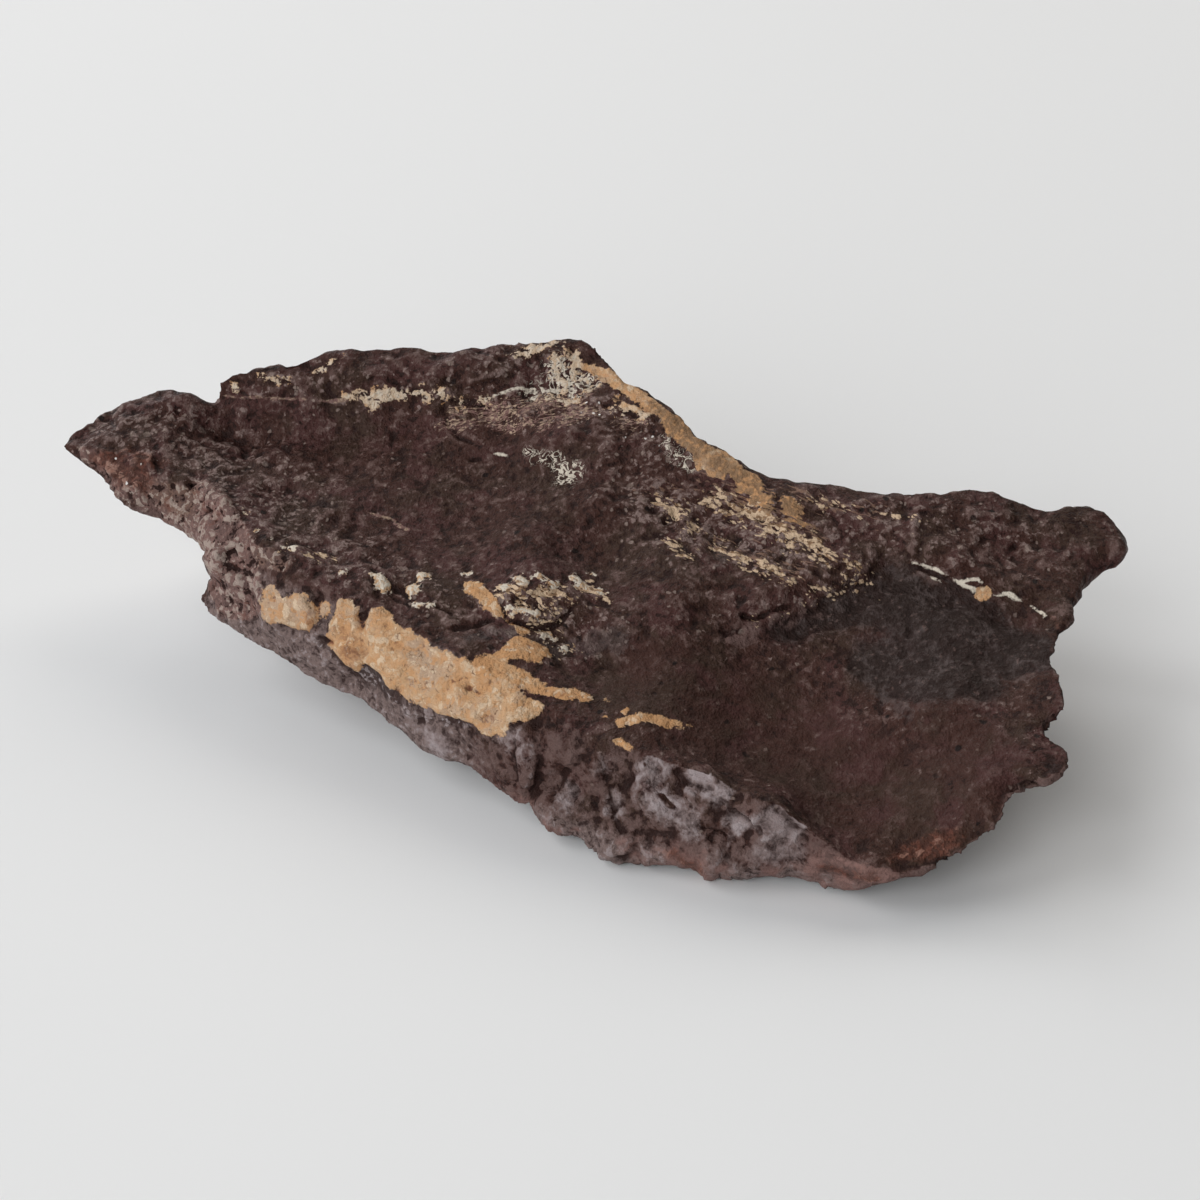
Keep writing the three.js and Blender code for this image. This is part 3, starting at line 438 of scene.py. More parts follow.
def finished_mesh(stone):
    """The stone's mesh with its modifiers worked in."""
    graph = bpy.context.evaluated_depsgraph_get()
    graph.update()
    mesh = bpy.data.meshes.new_from_object(stone.evaluated_get(graph))
    stone.modifiers.clear()
    worn_out = stone.data
    stone.data = mesh
    bpy.data.meshes.remove(worn_out)
    return mesh


def even_stone(solid):
    """A copy of the solid, its corners merged, remade as an even fine mesh in millimetres."""
    mesh = solid.data.copy()
    stone = bpy.data.objects.new("stone", mesh)
    bpy.context.scene.collection.objects.link(stone)
    shape = bmesh.new()
    shape.from_mesh(mesh)
    bmesh.ops.remove_doubles(shape, verts=shape.verts, dist=SAME_CORNER)
    bmesh.ops.scale(shape, vec=(1 / MM,) * 3, verts=shape.verts)
    shape.to_mesh(mesh)
    shape.free()
    remesh = stone.modifiers.new("even", "REMESH")
    remesh.mode = "VOXEL"
    remesh.voxel_size = GRID
    remesh.use_smooth_shade = True
    for name, factor in (("facets_off", 0.5), ("edges_back", -0.5)):
        smooth = stone.modifiers.new(name, "SMOOTH")
        smooth.factor = factor
        smooth.iterations = FACET_SMOOTHING
    finished_mesh(stone)
    return stone


def bent(points, size, reach, seed):
    """The points moved about a little, so that what is drawn on them wanders."""
    return points + reach * np.stack([noise(points, size, seed + k) for k in range(3)], 1)


def marked(points):
    """The markings as depths; the crumbled ones wander further than the crisp ones."""
    crumbled = {
        "band": CALICHE_BAND, "arms": CALICHE_ARMS, "summit": SUMMIT_CRUST, "valley": VALLEY_CREAM,
        "cream": CALICHE_CREAM, "lace": WHITE_LACE, "speckle": CREAM_SPECKLE, "streaks": TAN_STREAKS,
        "striae": PINK_STRIAE, "rust": RUST, "fracture": FRACTURE, "sheen": GREY_SHEEN, "blue": BLUE_GREY,
        "slab": DARK_SLAB, "broken": BROKEN_GROUND, "rim": RIM_TAN,
        "ashy": ASHY_PATCHES, "tan": FRACTURE_TAN, "shaded_fringe": SHADED_FRINGE, "ochre": OCHRE_LOBES,
        "worn": WORN_BASIN, "pinkfoot": PINK_FOOT, "glints": GLINTS,
    }
    crisp = {
        "vein": WHITE_VEIN, "scratch": PINK_SCRATCH, "clots": CREAM_CLOTS, "knot": VEIN_KNOT,
        "crevice": CREVICES, "groove": GROOVES,
    }
    strayed = bent(bent(points, 1.1, 0.22, 30), 0.45, 0.16, 40)
    marks = {name: depth_in(strayed, runs) for name, runs in crumbled.items()}
    strayed = bent(points, 0.9, 0.12, 30)
    marks.update((name, depth_in(strayed, runs)) for name, runs in crisp.items())
    marks["crust"] = np.maximum.reduce([marks[name] for name in ("band", "arms", "summit")])
    return marks


def outline_relief(points):
    """The swells and dents that the outline has."""
    height = np.zeros(len(points))
    for x, y, z, reach, rise in SWELLS:
        gap = np.linalg.norm(points - (x, y, z), axis=1)
        height += rise * smoothstep(1.0, 0.0, gap / (1.6 * reach))
    return height


def stone_relief(points, normals, marks):
    """Swells, ledges, pits and chips, heights along the normals."""
    up = smoothstep(0.3, 0.75, normals[:, 2])
    under = smoothstep(0.2, 0.7, -normals[:, 2])
    fresh = smoothstep(-0.1, 0.4, marks["fracture"])
    calm = np.maximum(fresh, marks["blocks"])
    rough = np.maximum(smoothstep(-0.8, 0.4, marks["broken"]), 0.5 * (1 - up)) * (1 - 0.6 * calm)
    wandering = bent(points, 0.8, 0.28, 20)
    height = sum((low + more * rough) * noise(wandering, size, seed) for size, low, more, seed in GRAIN)
    height *= 1 - 0.5 * marks["blocks"]
    height += GENTLE_SWELL * noise(points, 2.6, 1)
    slope = 2.2 * noise(wandering, 2.4, 5) + wandering @ np.array([0.25, -0.3, 0.9])
    height += (LEDGE_HEIGHT + ROUGH_LEDGE_HEIGHT * rough) * (terraces(slope) - slope)
    pits = Grains(wandering, PIT_SIZE, 6)
    pitted = (pits.lots[:, 0] < 0.3) * (1 - smoothstep(0.08, 0.36, pits.gap))
    height -= (PIT_DEPTH + ROUGH_PIT_DEPTH * rough) * pitted * (1 - calm)
    back = smoothstep(0.6, 0.9, normals[:, 1])
    breaks = Grains(bent(points, 2.4, 0.8, 70), BACK_FACE_SIZE, 72)
    height += back * (0.34 * breaks.tilted() + 0.1 * (breaks.lots[:, 0] - 0.6))
    height += back * 0.15 * noise(points, 4.5, 74)
    chips = Grains(wandering, CHIP_SIZE, 12)
    flakes = Grains(wandering, FLAKE_SIZE, 15)
    chipped = np.clip(fresh + 0.15 * (1 - up - under) + 0.1 * rough, 0, 1)
    height += chipped * (0.32 * chips.tilted() + 0.13 * flakes.tilted() + 0.08 * (chips.lots[:, 2] - 0.5))
    return height * (1 - 0.4 * under)


def flank_blocks(points):
    """The upright blocks that the flank has broken into."""
    return Grains(bent(points * np.array([1, 1, 0.7]), 1.1, 0.4, 50), BLOCK_SIZE, 18)


def flank_relief(points, marks):
    """Leaning faces of the broken flank, with shallow seams between them."""
    blocks = flank_blocks(points)
    small = Grains(bent(points * np.array([1, 1, 0.8]), 0.6, 0.2, 54), SMALL_BLOCK_SIZE, 24)
    height = 0.33 * blocks.tilted() + 0.18 * (blocks.lots[:, 0] - 0.4) + 0.1 * small.tilted()
    height += 0.06 * (smoothstep(-0.1, 0.5, blocks.crease()) - 0.7)
    return height * marks["blocks"] * smoothstep(0.0, -0.8, marks["pinkfoot"])


def crust_relief(points, marks):
    """What lies on the stone: caliche with its scales and knobs, and pebbly clots of cream."""
    crust = smoothstep(-0.05, 0.12, marks["crust"])
    scales = Grains(bent(points, 0.4, 0.12, 60), SCALE_SIZE, 30)
    knobs = Grains(points, KNOB_SIZE, 36)
    band = smoothstep(-0.05, 0.2, marks["band"])
    height = crust * (0.03 + 0.05 * smoothstep(0, 0.5, scales.crease()) - 0.05 * scales.gap)
    height += band * (BAND_THICKNESS + 0.26 * (0.5 - knobs.gap) + 0.16 * noise(points, 1.5, 61))
    height += band * 0.1 * noise(bent(points, 0.6, 0.2, 64), 0.7, 66)
    clots = Grains(points * np.array([0.8, 1.2, 1.2]), CLOT_SIZE, 42)
    height += SPECKLE_HEIGHT * smoothstep(-0.2, 0.3, marks["speckle"]) * smoothstep(0.6, 0.25, clots.gap)
    height += CLOT_HEIGHT * smoothstep(-0.05, 0.15, marks["clots"])
    return height + VEIN_HEIGHT * smoothstep(-0.05, 0.04, marks["vein"])


def weathered(points, normals, marks):
    height = outline_relief(points) + stone_relief(points, normals, marks) + flank_relief(points, marks)
    height *= 1 - 0.6 * smoothstep(-0.1, 0.2, marks["crust"])
    height *= 1 - 0.35 * smoothstep(-0.2, 0.3, marks["slab"])
    height += crust_relief(points, marks)
    height -= SLAB_DROP * smoothstep(-0.06, 0.08, marks["slab"])
    height -= GROOVE_DEPTH * smoothstep(-0.35, 0.15, marks["groove"])
    height -= CREVICE_DEPTH * smoothstep(-0.1, 0.1, marks["crevice"])
    return height


def evened(mesh, values, passes):
    """The values spread over their neighbours."""
    edges = np.empty(len(mesh.edges) * 2, np.int64)
    mesh.edges.foreach_get("vertices", edges)
    start, end = edges.reshape(-1, 2).T
    count = np.bincount(edges, minlength=len(values))
    for _ in range(passes):
        total = np.bincount(start, values[end], len(values))
        total += np.bincount(end, values[start], len(values))
        values = 0.5 * values + 0.5 * total / count
    return values


def thinned(stone):
    """The stone with fewer triangles where it is smooth."""
    triangles = sum(len(face.vertices) - 2 for face in stone.data.polygons)
    thin = stone.modifiers.new("thin", "DECIMATE")
    thin.ratio = min(1.0, TRIANGLES / triangles)
    return finished_mesh(stone)


def build_stone():
    stone = even_stone(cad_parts["meteorite"])
    mesh = stone.data
    points = vectors(mesh.vertices, "co")
    normals = vectors(mesh.vertex_normals, "vector")
    marks = marked(points)
    marks["flank"] = smoothstep(0.2, 0.5, -normals[:, 1]) * smoothstep(0.85, 0.6, normals[:, 2])
    marks["flank"] *= smoothstep(7.0, 5.5, points[:, 2])
    marks["foot"] = marks["flank"] * smoothstep(2.2, 0.4, points[:, 2])
    marks["wall"] = marks["flank"] * smoothstep(-2, -6, points[:, 0])
    marks["blocks"] = marks["flank"] * smoothstep(-5, -1, points[:, 0])
    marks["face"] = evened(mesh, flank_blocks(points).lots[:, 1], FACE_PASSES)
    height = evened(mesh, weathered(points, normals, marks), RELIEF_PASSES)
    # How far each point lies below the levelled relief; the material paints shade into the hollows and
    # highlight onto the bumps by it.
    marks["hollow"] = evened(mesh, height, HOLLOW_PASSES) - height
    mesh.vertices.foreach_set("co", (points + normals * height[:, None]).ravel())
    for name, depth in marks.items():
        mesh.attributes.new(name, "FLOAT", "POINT").data.foreach_set("value", depth.astype(np.float32))
    mesh = thinned(stone)
    low, high = (np.array(corner) for corner in CAD_BOX)
    points = np.clip(vectors(mesh.vertices, "co") * MM, low, high)
    mesh.vertices.foreach_set("co", points.ravel())
    mesh.update()
    return stone


# ---- Materials ----

class Painter:
    """Short names for the nodes of one material."""

    def __init__(self, name):
        self.material = bpy.data.materials.new(name)
        self.material.use_nodes = True
        self.tree = self.material.node_tree
        self.shader = self.tree.nodes["Principled BSDF"]
        self.place = self.new("TexCoord").outputs["Object"]
        self.crumpled = self.shifted(0.45, 0.16)

    def new(self, kind, **inputs):
        """A node with its inputs fed; an underscore in a name stands for a space."""
        node = self.tree.nodes.new("ShaderNode" + kind)
        for name, value in inputs.items():
            self.feed(node.inputs[name.replace("_", " ")], value)
        return node

    def feed(self, socket, value):
        if isinstance(value, bpy.types.NodeSocket):
            self.tree.links.new(value, socket)
        else:
            socket.default_value = value

    def shifted(self, size, reach):
        """The place moved about by up to `reach`, so that the seams of grains wander."""
        wander = self.new("TexNoise", Vector=self.place, Scale=1 / (size * MM), Detail=2.0)
        node = self.new("VectorMath")
        node.operation = "MULTIPLY_ADD"
        self.feed(node.inputs[0], wander.outputs["Color"])
        self.feed(node.inputs[1], (2 * reach * MM,) * 3)
        self.feed(node.inputs[2], self.place)
        return node.outputs["Vector"]

    def moved(self, seed, stretch, turn, place=None):
        """The place to look up, drawn out `stretch` times along a line `turn` degrees from +X."""
        mapping = self.new("Mapping", Vector=place or self.place, Scale=(stretch, 1, 1))
        mapping.vector_type = "TEXTURE"
        self.feed(mapping.inputs["Location"], (seed * 0.13, seed * 0.07, seed * 0.11))
        self.feed(mapping.inputs["Rotation"], (0, 0, math.radians(turn)))
        return mapping.outputs["Vector"]

    def noise(self, size, detail=2.0, roughness=0.55, distortion=0.0, seed=0.0, stretch=1.0, turn=0.0):
        """Noise from 0 to 1, with bumps about `size` millimetres across."""
        node = self.new("TexNoise", Vector=self.moved(seed, stretch, turn), Scale=1 / (size * MM),
                        Detail=detail, Roughness=roughness, Distortion=distortion)
        return node.outputs["Fac"]

    def scattered(self, size, seed, stretch=1.0, turn=0.0):
        """The node for grains about `size` millimetres apart."""
        place = self.moved(seed, stretch, turn, self.crumpled)
        return self.new("TexVoronoi", Vector=place, Scale=1 / (size * MM))

    def grains(self, size, seed, output="Distance"):
        return self.scattered(size, seed).outputs[output]

    def seams(self, size, seed):
        """How far away the seams between grains are."""
        node = self.scattered(size, seed)
        node.feature = "DISTANCE_TO_EDGE"
        return node.outputs["Distance"]

    def specks(self, size, seed, stretch=1.0, turn=0.0):
        """Each speck's gap from its middle, and its lot from 0 to 1."""
        node = self.scattered(size, seed, stretch, turn)
        return node.outputs["Distance"], node.outputs["Color"]

    def mark(self, name):
        node = self.new("Attribute")
        node.attribute_name = name
        return node.outputs["Fac"]

    def math(self, operation, *values):
        node = self.new("Math")
        node.operation = operation
        for socket, value in zip(node.inputs, values):
            self.feed(socket, value)
        return node.outputs[0]

    def times(self, a, b):
        return self.math("MULTIPLY", a, b)

    def most(self, *parts):
        total = parts[0]
        for part in parts[1:]:
            total = self.math("MAXIMUM", total, part)
        return total

    def sum(self, *parts):
        """The sum of plain values and (value, weight) pairs."""
        total = 0.0
        for part in parts:
            if isinstance(part, tuple):
                total = self.math("MULTIPLY_ADD", *part, total)
            else:
                total = self.math("ADD", total, part)
        return total

    def between(self, value, low, high, to_low=0.0, to_high=1.0):
        """Eases from to_low to to_high as the value goes from low to high."""
        node = self.new("MapRange", Value=value, From_Min=low, From_Max=high,
                        To_Min=to_low, To_Max=to_high)
        node.interpolation_type = "SMOOTHSTEP"
        return node.outputs["Result"]

    def mix(self, share, a, b):
        node = self.new("Mix", Factor=share)
        node.data_type = "RGBA"
        self.feed(node.inputs[6], a)
        self.feed(node.inputs[7], b)
        return node.outputs[2]

    def blend(self, value, low, high, a, b, most=1.0):
        """From a to b as the value goes from low to high."""
        return self.mix(self.between(value, low, high, 0, most), a, b)

    def bump(self, height, distance):
        return self.new("Bump", Strength=1.0, Distance=distance * MM, Height=height).outputs["Normal"]


def colour(red, green, blue):
    return (red, green, blue, 1.0)


UMBER = colour(0.05, 0.0215, 0.0165)
DARK_UMBER = colour(0.024, 0.0105, 0.0085)
OLIVE = colour(0.044, 0.0235, 0.0165)
PLUM = colour(0.06, 0.025, 0.022)
MAUVE = colour(0.13, 0.08, 0.07)
ASH = colour(0.22, 0.158, 0.142)
SPECK_PALE = colour(0.34, 0.27, 0.23)
PIT_DARK = colour(0.012, 0.006, 0.005)
SLATE = colour(0.024, 0.015, 0.013)
STEEL = colour(0.082, 0.063, 0.06)
FLANK_BROWN = colour(0.112, 0.068, 0.06)
# Painted shade for the flank's hollows and the fringe under the band.
FLANK_SHADE = colour(0.026, 0.012, 0.01)
PEWTER = colour(0.23, 0.176, 0.17)
FILM_DARK = colour(0.105, 0.074, 0.069)
# The film's brightest grey: painted sheen and highlight on the bumps, and pale specks.
FILM_SHEEN_BRIGHT = colour(0.34, 0.29, 0.292)
WALL_GREY = colour(0.19, 0.137, 0.126)
PINK_CLAY = colour(0.212, 0.12, 0.104)
BRICK = colour(0.125, 0.044, 0.029)
RUST_DEEP = colour(0.066, 0.026, 0.018)
RUST_ORANGE = colour(0.25, 0.125, 0.092)
CALICHE_TAN = colour(0.49, 0.3, 0.165)
CALICHE_OCHRE = colour(0.49, 0.262, 0.122)
CALICHE_LIGHT = colour(0.63, 0.485, 0.345)
# Rust brown of the ochre lobes, also painted shade in the caliche's hollows.
CALICHE_RUST_SHADE = colour(0.33, 0.16, 0.08)
DULL_CREAM = colour(0.42, 0.3, 0.215)
CALICHE_PALE = colour(0.56, 0.41, 0.28)
FRACTURE_BUFF = colour(0.19, 0.11, 0.082)
RIM_OLIVE = colour(0.22, 0.132, 0.075)
LACE_WHITE = colour(0.6, 0.53, 0.44)
GLINT_WHITE = colour(0.8, 0.76, 0.72)


class StoneFields:
    """The noises and markings that the stone's layers share."""

    def __init__(self, p):
        self.painter = p
        self.cloud = p.noise(3.0, 2, 0.5)
        self.drift = p.noise(2.0, 2, 0.5, seed=7)
        self.mottle = p.noise(0.85, 3, 0.62, 0.5, seed=1)
        self.fleck = p.noise(0.26, 2, 0.6, seed=2)
        self.dust = p.noise(0.09, 1, 0.5, seed=3)
        self.granule = p.grains(0.34, 12)
        self.grit = p.grains(0.15, 16, "Color")
        self.speck_gap, self.speck_lot = p.specks(0.21, 13)
        self.pebble_gap, self.pebble_lot = p.specks(0.5, 14)
        self.shard = p.grains(0.3, 17, "Color")
        self.hollow = p.mark("hollow")
        self.broken = p.mark("broken")
        self.ragged = p.sum((self.mottle, 0.3), (self.fleck, 0.3), (self.dust, 0.12), -0.36)

    def edge(self, name, low, high, raggedness=1.0, most=1.0):
        """A marking's share, with a ragged edge."""
        p = self.painter
        return p.between(p.sum(p.mark(name), (self.ragged, raggedness)), low, high, 0, most)


def weathered_top(p, f):
    """Brown with olive and plum clouds, with pale specks and dark pits; dark umber in the hollows is
    painted shade, and mauve and ash on the bumps are partly painted highlight.
    """
    lively = p.between(p.mark("worn"), -0.8, 0.5, 1.0, 0.35)
    stone = p.blend(p.sum((f.cloud, 0.7), (f.mottle, 0.3)), 0.44, 0.58, UMBER, OLIVE)
    stone = p.blend(p.sum((f.drift, 0.7), (f.mottle, 0.3)), 0.48, 0.6, stone, PLUM)
    # Dark umber where the tone is low and mauve where it is high; the hollow weight makes the first
    # painted shade in the hollows and the second partly painted highlight on the bumps.
    tone = p.sum((f.grit, 0.15), (f.shard, 0.15), (f.fleck, 0.28), (f.mottle, 0.42),
                 (f.hollow, -2.2), (f.broken, 0.02))
    stone = p.mix(p.times(lively, p.between(tone, 0.47, 0.37)), stone, DARK_UMBER)
    stone = p.mix(p.times(lively, p.between(tone, 0.505, 0.635, 0, 0.8)), stone, MAUVE)
    # Mauve and ash crumbs, more of them on the bumps: partly painted highlight.
    crumbs = p.blend(p.sum((f.shard, 0.7), (f.grit, 0.3)), 0.4, 0.7, MAUVE, ASH)
    ashy = p.mark("ashy")
    crumb = p.sum((f.grit, 0.2), (f.shard, 0.15), (f.fleck, 0.65), (f.broken, 0.05), (ashy, 0.04),
                  (f.hollow, -1.2))
    stone = p.mix(p.times(lively, p.between(crumb, 0.58, 0.64, 0, 0.75)), stone, crumbs)
    # Near-black where the tone is low, most of all in the hollows: partly painted shade.
    dark = p.sum((f.shard, 0.3), (f.fleck, 0.4), (f.mottle, 0.3), (ashy, -0.03), (f.hollow, -1.0))
    stone = p.blend(dark, 0.37, 0.32, stone, PIT_DARK, 0.8)
    edge = p.between(p.sum(f.pebble_gap, (f.fleck, 0.4)), 0.62, 0.46)
    pebble = p.times(p.between(p.sum(f.pebble_lot, (f.broken, 0.07)), 0.84, 0.9), edge)
    stone = p.mix(p.times(pebble, 0.5), stone, p.mix(f.grit, MAUVE, SPECK_PALE))
    lot = p.sum(f.speck_lot, (ashy, 0.06), (f.broken, 0.05))
    speck = p.times(p.between(lot, 0.76, 0.82), p.between(f.speck_gap, 0.5, 0.25))
    stone = p.mix(p.times(p.times(lively, speck), 0.8), stone, p.mix(f.mottle, MAUVE, SPECK_PALE))
    pit = p.times(p.between(f.pebble_lot, 0.17, 0.11), p.between(f.pebble_gap, 0.34, 0.2))
    return p.mix(pit, stone, PIT_DARK)


def broken_flank(p, f, top):
    """The top's brown with a grey film, greyer to the left, pinkish at the foot; paler bumps and the
    film's sheen are partly painted highlight, dark hollows are painted shade.
    """
    # Paler brown where the mottles run high and on the bumps; on the bumps it is painted highlight.
    worn = p.sum((f.mottle, 0.5), (f.shard, 0.2), (f.fleck, 0.3), (f.hollow, -1.5))
    flank = p.blend(worn, 0.4, 0.6, top, FLANK_BROWN)
    # The wall's grey: brightest on the bumps as painted highlight, darkest in the hollows as painted
    # shade.
    grain = p.sum((f.grit, 0.25), (f.shard, 0.25), (f.fleck, 0.5), (f.hollow, -1.5))
    grey = p.blend(grain, 0.38, 0.58, FILM_DARK, WALL_GREY)
    grey = p.blend(p.sum((grain, 0.8), (f.mottle, 0.2)), 0.57, 0.66, grey, FILM_SHEEN_BRIGHT, 0.6)
    grey = p.blend(grain, 0.42, 0.34, grey, FLANK_SHADE, 0.7)
    wall = p.between(p.sum(p.mark("wall"), (f.ragged, 1.5), (f.hollow, -3.0)), 0.3, 1.0, 0, 0.9)
    flank = p.mix(wall, flank, grey)
    foot = p.blend(p.sum((f.drift, 0.6), (f.mottle, 0.4)), 0.44, 0.58, grey, PINK_CLAY)
    flank = p.mix(f.edge("foot", 0.2, 0.8, 2.0, 0.85), flank, foot)
    face = p.mark("face")
    # The grey film: partly a grey coat, partly a painted sheen that is brightest on the bumps and on some
    # of the blocks.
    coat_and_sheen = p.sum((p.mark("sheen"), 0.5), (face, 0.5), (f.hollow, -1.4), (f.ragged, 1.3), (f.grit, 0.1),
                 -0.34)
    shine = p.sum((f.fleck, 0.35), (f.mottle, 0.4), (face, 0.2), (f.grit, 0.05), (f.hollow, -1.2))
    coat_and_sheen_colour = p.blend(shine, 0.34, 0.56, FILM_DARK, PEWTER)
    coat_and_sheen_colour = p.blend(shine, 0.52, 0.68, coat_and_sheen_colour, FILM_SHEEN_BRIGHT, 0.7)
    flank = p.blend(coat_and_sheen, -0.15, 0.28, flank, coat_and_sheen_colour, 0.95)
    pink = p.blend(shine, 0.32, 0.5, FLANK_BROWN, PINK_CLAY)
    flank = p.mix(f.edge("pinkfoot", -0.4, 0.3, 2.0, 0.9), flank, pink)
    # The dark fringe under the caliche band is painted shade, with pale specks.
    shaded_fringe = p.blend(p.sum((grain, 0.6), (f.speck_lot, 0.4)), 0.52, 0.6, FLANK_SHADE, FILM_SHEEN_BRIGHT)
    flank = p.mix(f.edge("shaded_fringe", -0.1, 0.3, 2.0, 0.85), flank, p.mix(0.2, shaded_fringe, FILM_DARK))
    # Painted shade in the hollows.
    return p.blend(p.sum(f.hollow, (f.ragged, 0.15)), 0.04, 0.2, flank, FLANK_SHADE)


def fresh_fracture(p, f):
    """Pinkish crystals, tan in places, with a little rust; paler on the bumps as partly painted highlight
    and dark umber in the hollows as painted shade.
    """
    crystal = p.sum((f.shard, 0.6), (f.grit, 0.4))
    chips = p.sum((crystal, 0.7), (f.mottle, 0.4), (f.hollow, -1.2))
    pink = p.mix(f.edge("tan", -0.3, 0.3, 2.0), PINK_CLAY, FRACTURE_BUFF)
    flesh = p.blend(chips, 0.25, 0.75, FLANK_BROWN, pink)
    pale = p.sum((crystal, 0.6), (f.fleck, 0.5), (f.hollow, -1.2))
    flesh = p.blend(pale, 0.58, 0.7, flesh, SPECK_PALE, 0.9)
    # Painted shade: dark umber in the hollows.
    flesh = p.blend(p.sum(f.fleck, (f.hollow, -1.5)), 0.44, 0.33, flesh, DARK_UMBER)
    return p.blend(f.mottle, 0.58, 0.68, flesh, BRICK, 0.5)


def caliche(p, f):
    """Tan and ochre scales, cream where it is thick, olive along the rim, brown in its cracks; paler on
    the knobs as partly painted highlight, ochre to brick in the hollows as painted shade.
    """
    scale = p.grains(0.22, 8)
    cracked = p.between(p.sum(p.seams(0.55, 15), (f.fleck, 0.2)), 0.13, 0.08)
    crust = p.blend(p.sum(f.mottle, (p.mark("arms"), 0.2)), 0.4, 0.62, CALICHE_TAN, CALICHE_OCHRE)
    golden = p.between(p.mark("arms"), -0.05, 0.15)
    # Paler on the knobs: partly painted highlight.
    light = p.sum((f.fleck, 0.45), (f.dust, 0.2), (f.shard, 0.25), (scale, -0.2), (f.hollow, -0.8),
                  (golden, -0.1))
    crust = p.blend(light, 0.34, 0.5, crust, CALICHE_PALE, 0.75)
    # Ochre, then rust brown, in the hollows: painted shade.
    sunk = p.sum(f.hollow, (f.ragged, 0.2))
    crust = p.blend(sunk, 0.0, 0.09, crust, CALICHE_OCHRE, 0.75)
    milky = p.sum((f.drift, 0.5), (f.mottle, 0.5), (golden, -0.2))
    crust = p.blend(milky, 0.5, 0.6, crust, DULL_CREAM, 0.6)
    crust = p.mix(f.edge("cream", -0.4, 0.4, 2.0, 0.8), crust, DULL_CREAM)
    ochre = p.blend(p.sum((f.fleck, 0.5), (f.grit, 0.5)), 0.4, 0.56, CALICHE_RUST_SHADE, CALICHE_OCHRE)
    crust = p.mix(f.edge("ochre", -0.1, 0.4, 2.0, 0.75), crust, ochre)
    # Ochre in the hollows is painted shade; pale on the knobs is partly painted highlight.
    fleck = p.sum((f.shard, 0.35), (f.fleck, 0.45), (f.mottle, 0.2), (f.hollow, 0.8))
    crust = p.blend(fleck, 0.52, 0.6, crust, CALICHE_OCHRE, 0.75)
    crust = p.blend(fleck, 0.43, 0.35, crust, CALICHE_LIGHT, 0.7)
    white = p.mix(f.grit, CALICHE_PALE, LACE_WHITE)
    crust = p.mix(f.edge("valley", -0.2, 0.1, 1.0, 0.85), crust, white)
    rim = p.blend(p.sum((f.grit, 0.4), (f.fleck, 0.6)), 0.46, 0.74, RIM_OLIVE, CALICHE_OCHRE)
    crust = p.mix(f.edge("rim", -0.15, 0.4, 1.5, 0.9), crust, rim)
    crust = p.mix(p.times(cracked, p.between(f.mottle, 0.45, 0.6)), crust, RIM_OLIVE)
    crust = p.blend(sunk, 0.05, 0.14, crust, CALICHE_RUST_SHADE, 0.7)
    crust = p.mix(f.edge("rust", -0.1, 0.3, 1.6, 0.6), crust, BRICK)
    # Brick in the hollows: painted shade.
    return p.blend(p.sum((f.fleck, 0.6), (f.hollow, -1.8)), 0.24, 0.08, crust, BRICK, 0.75)


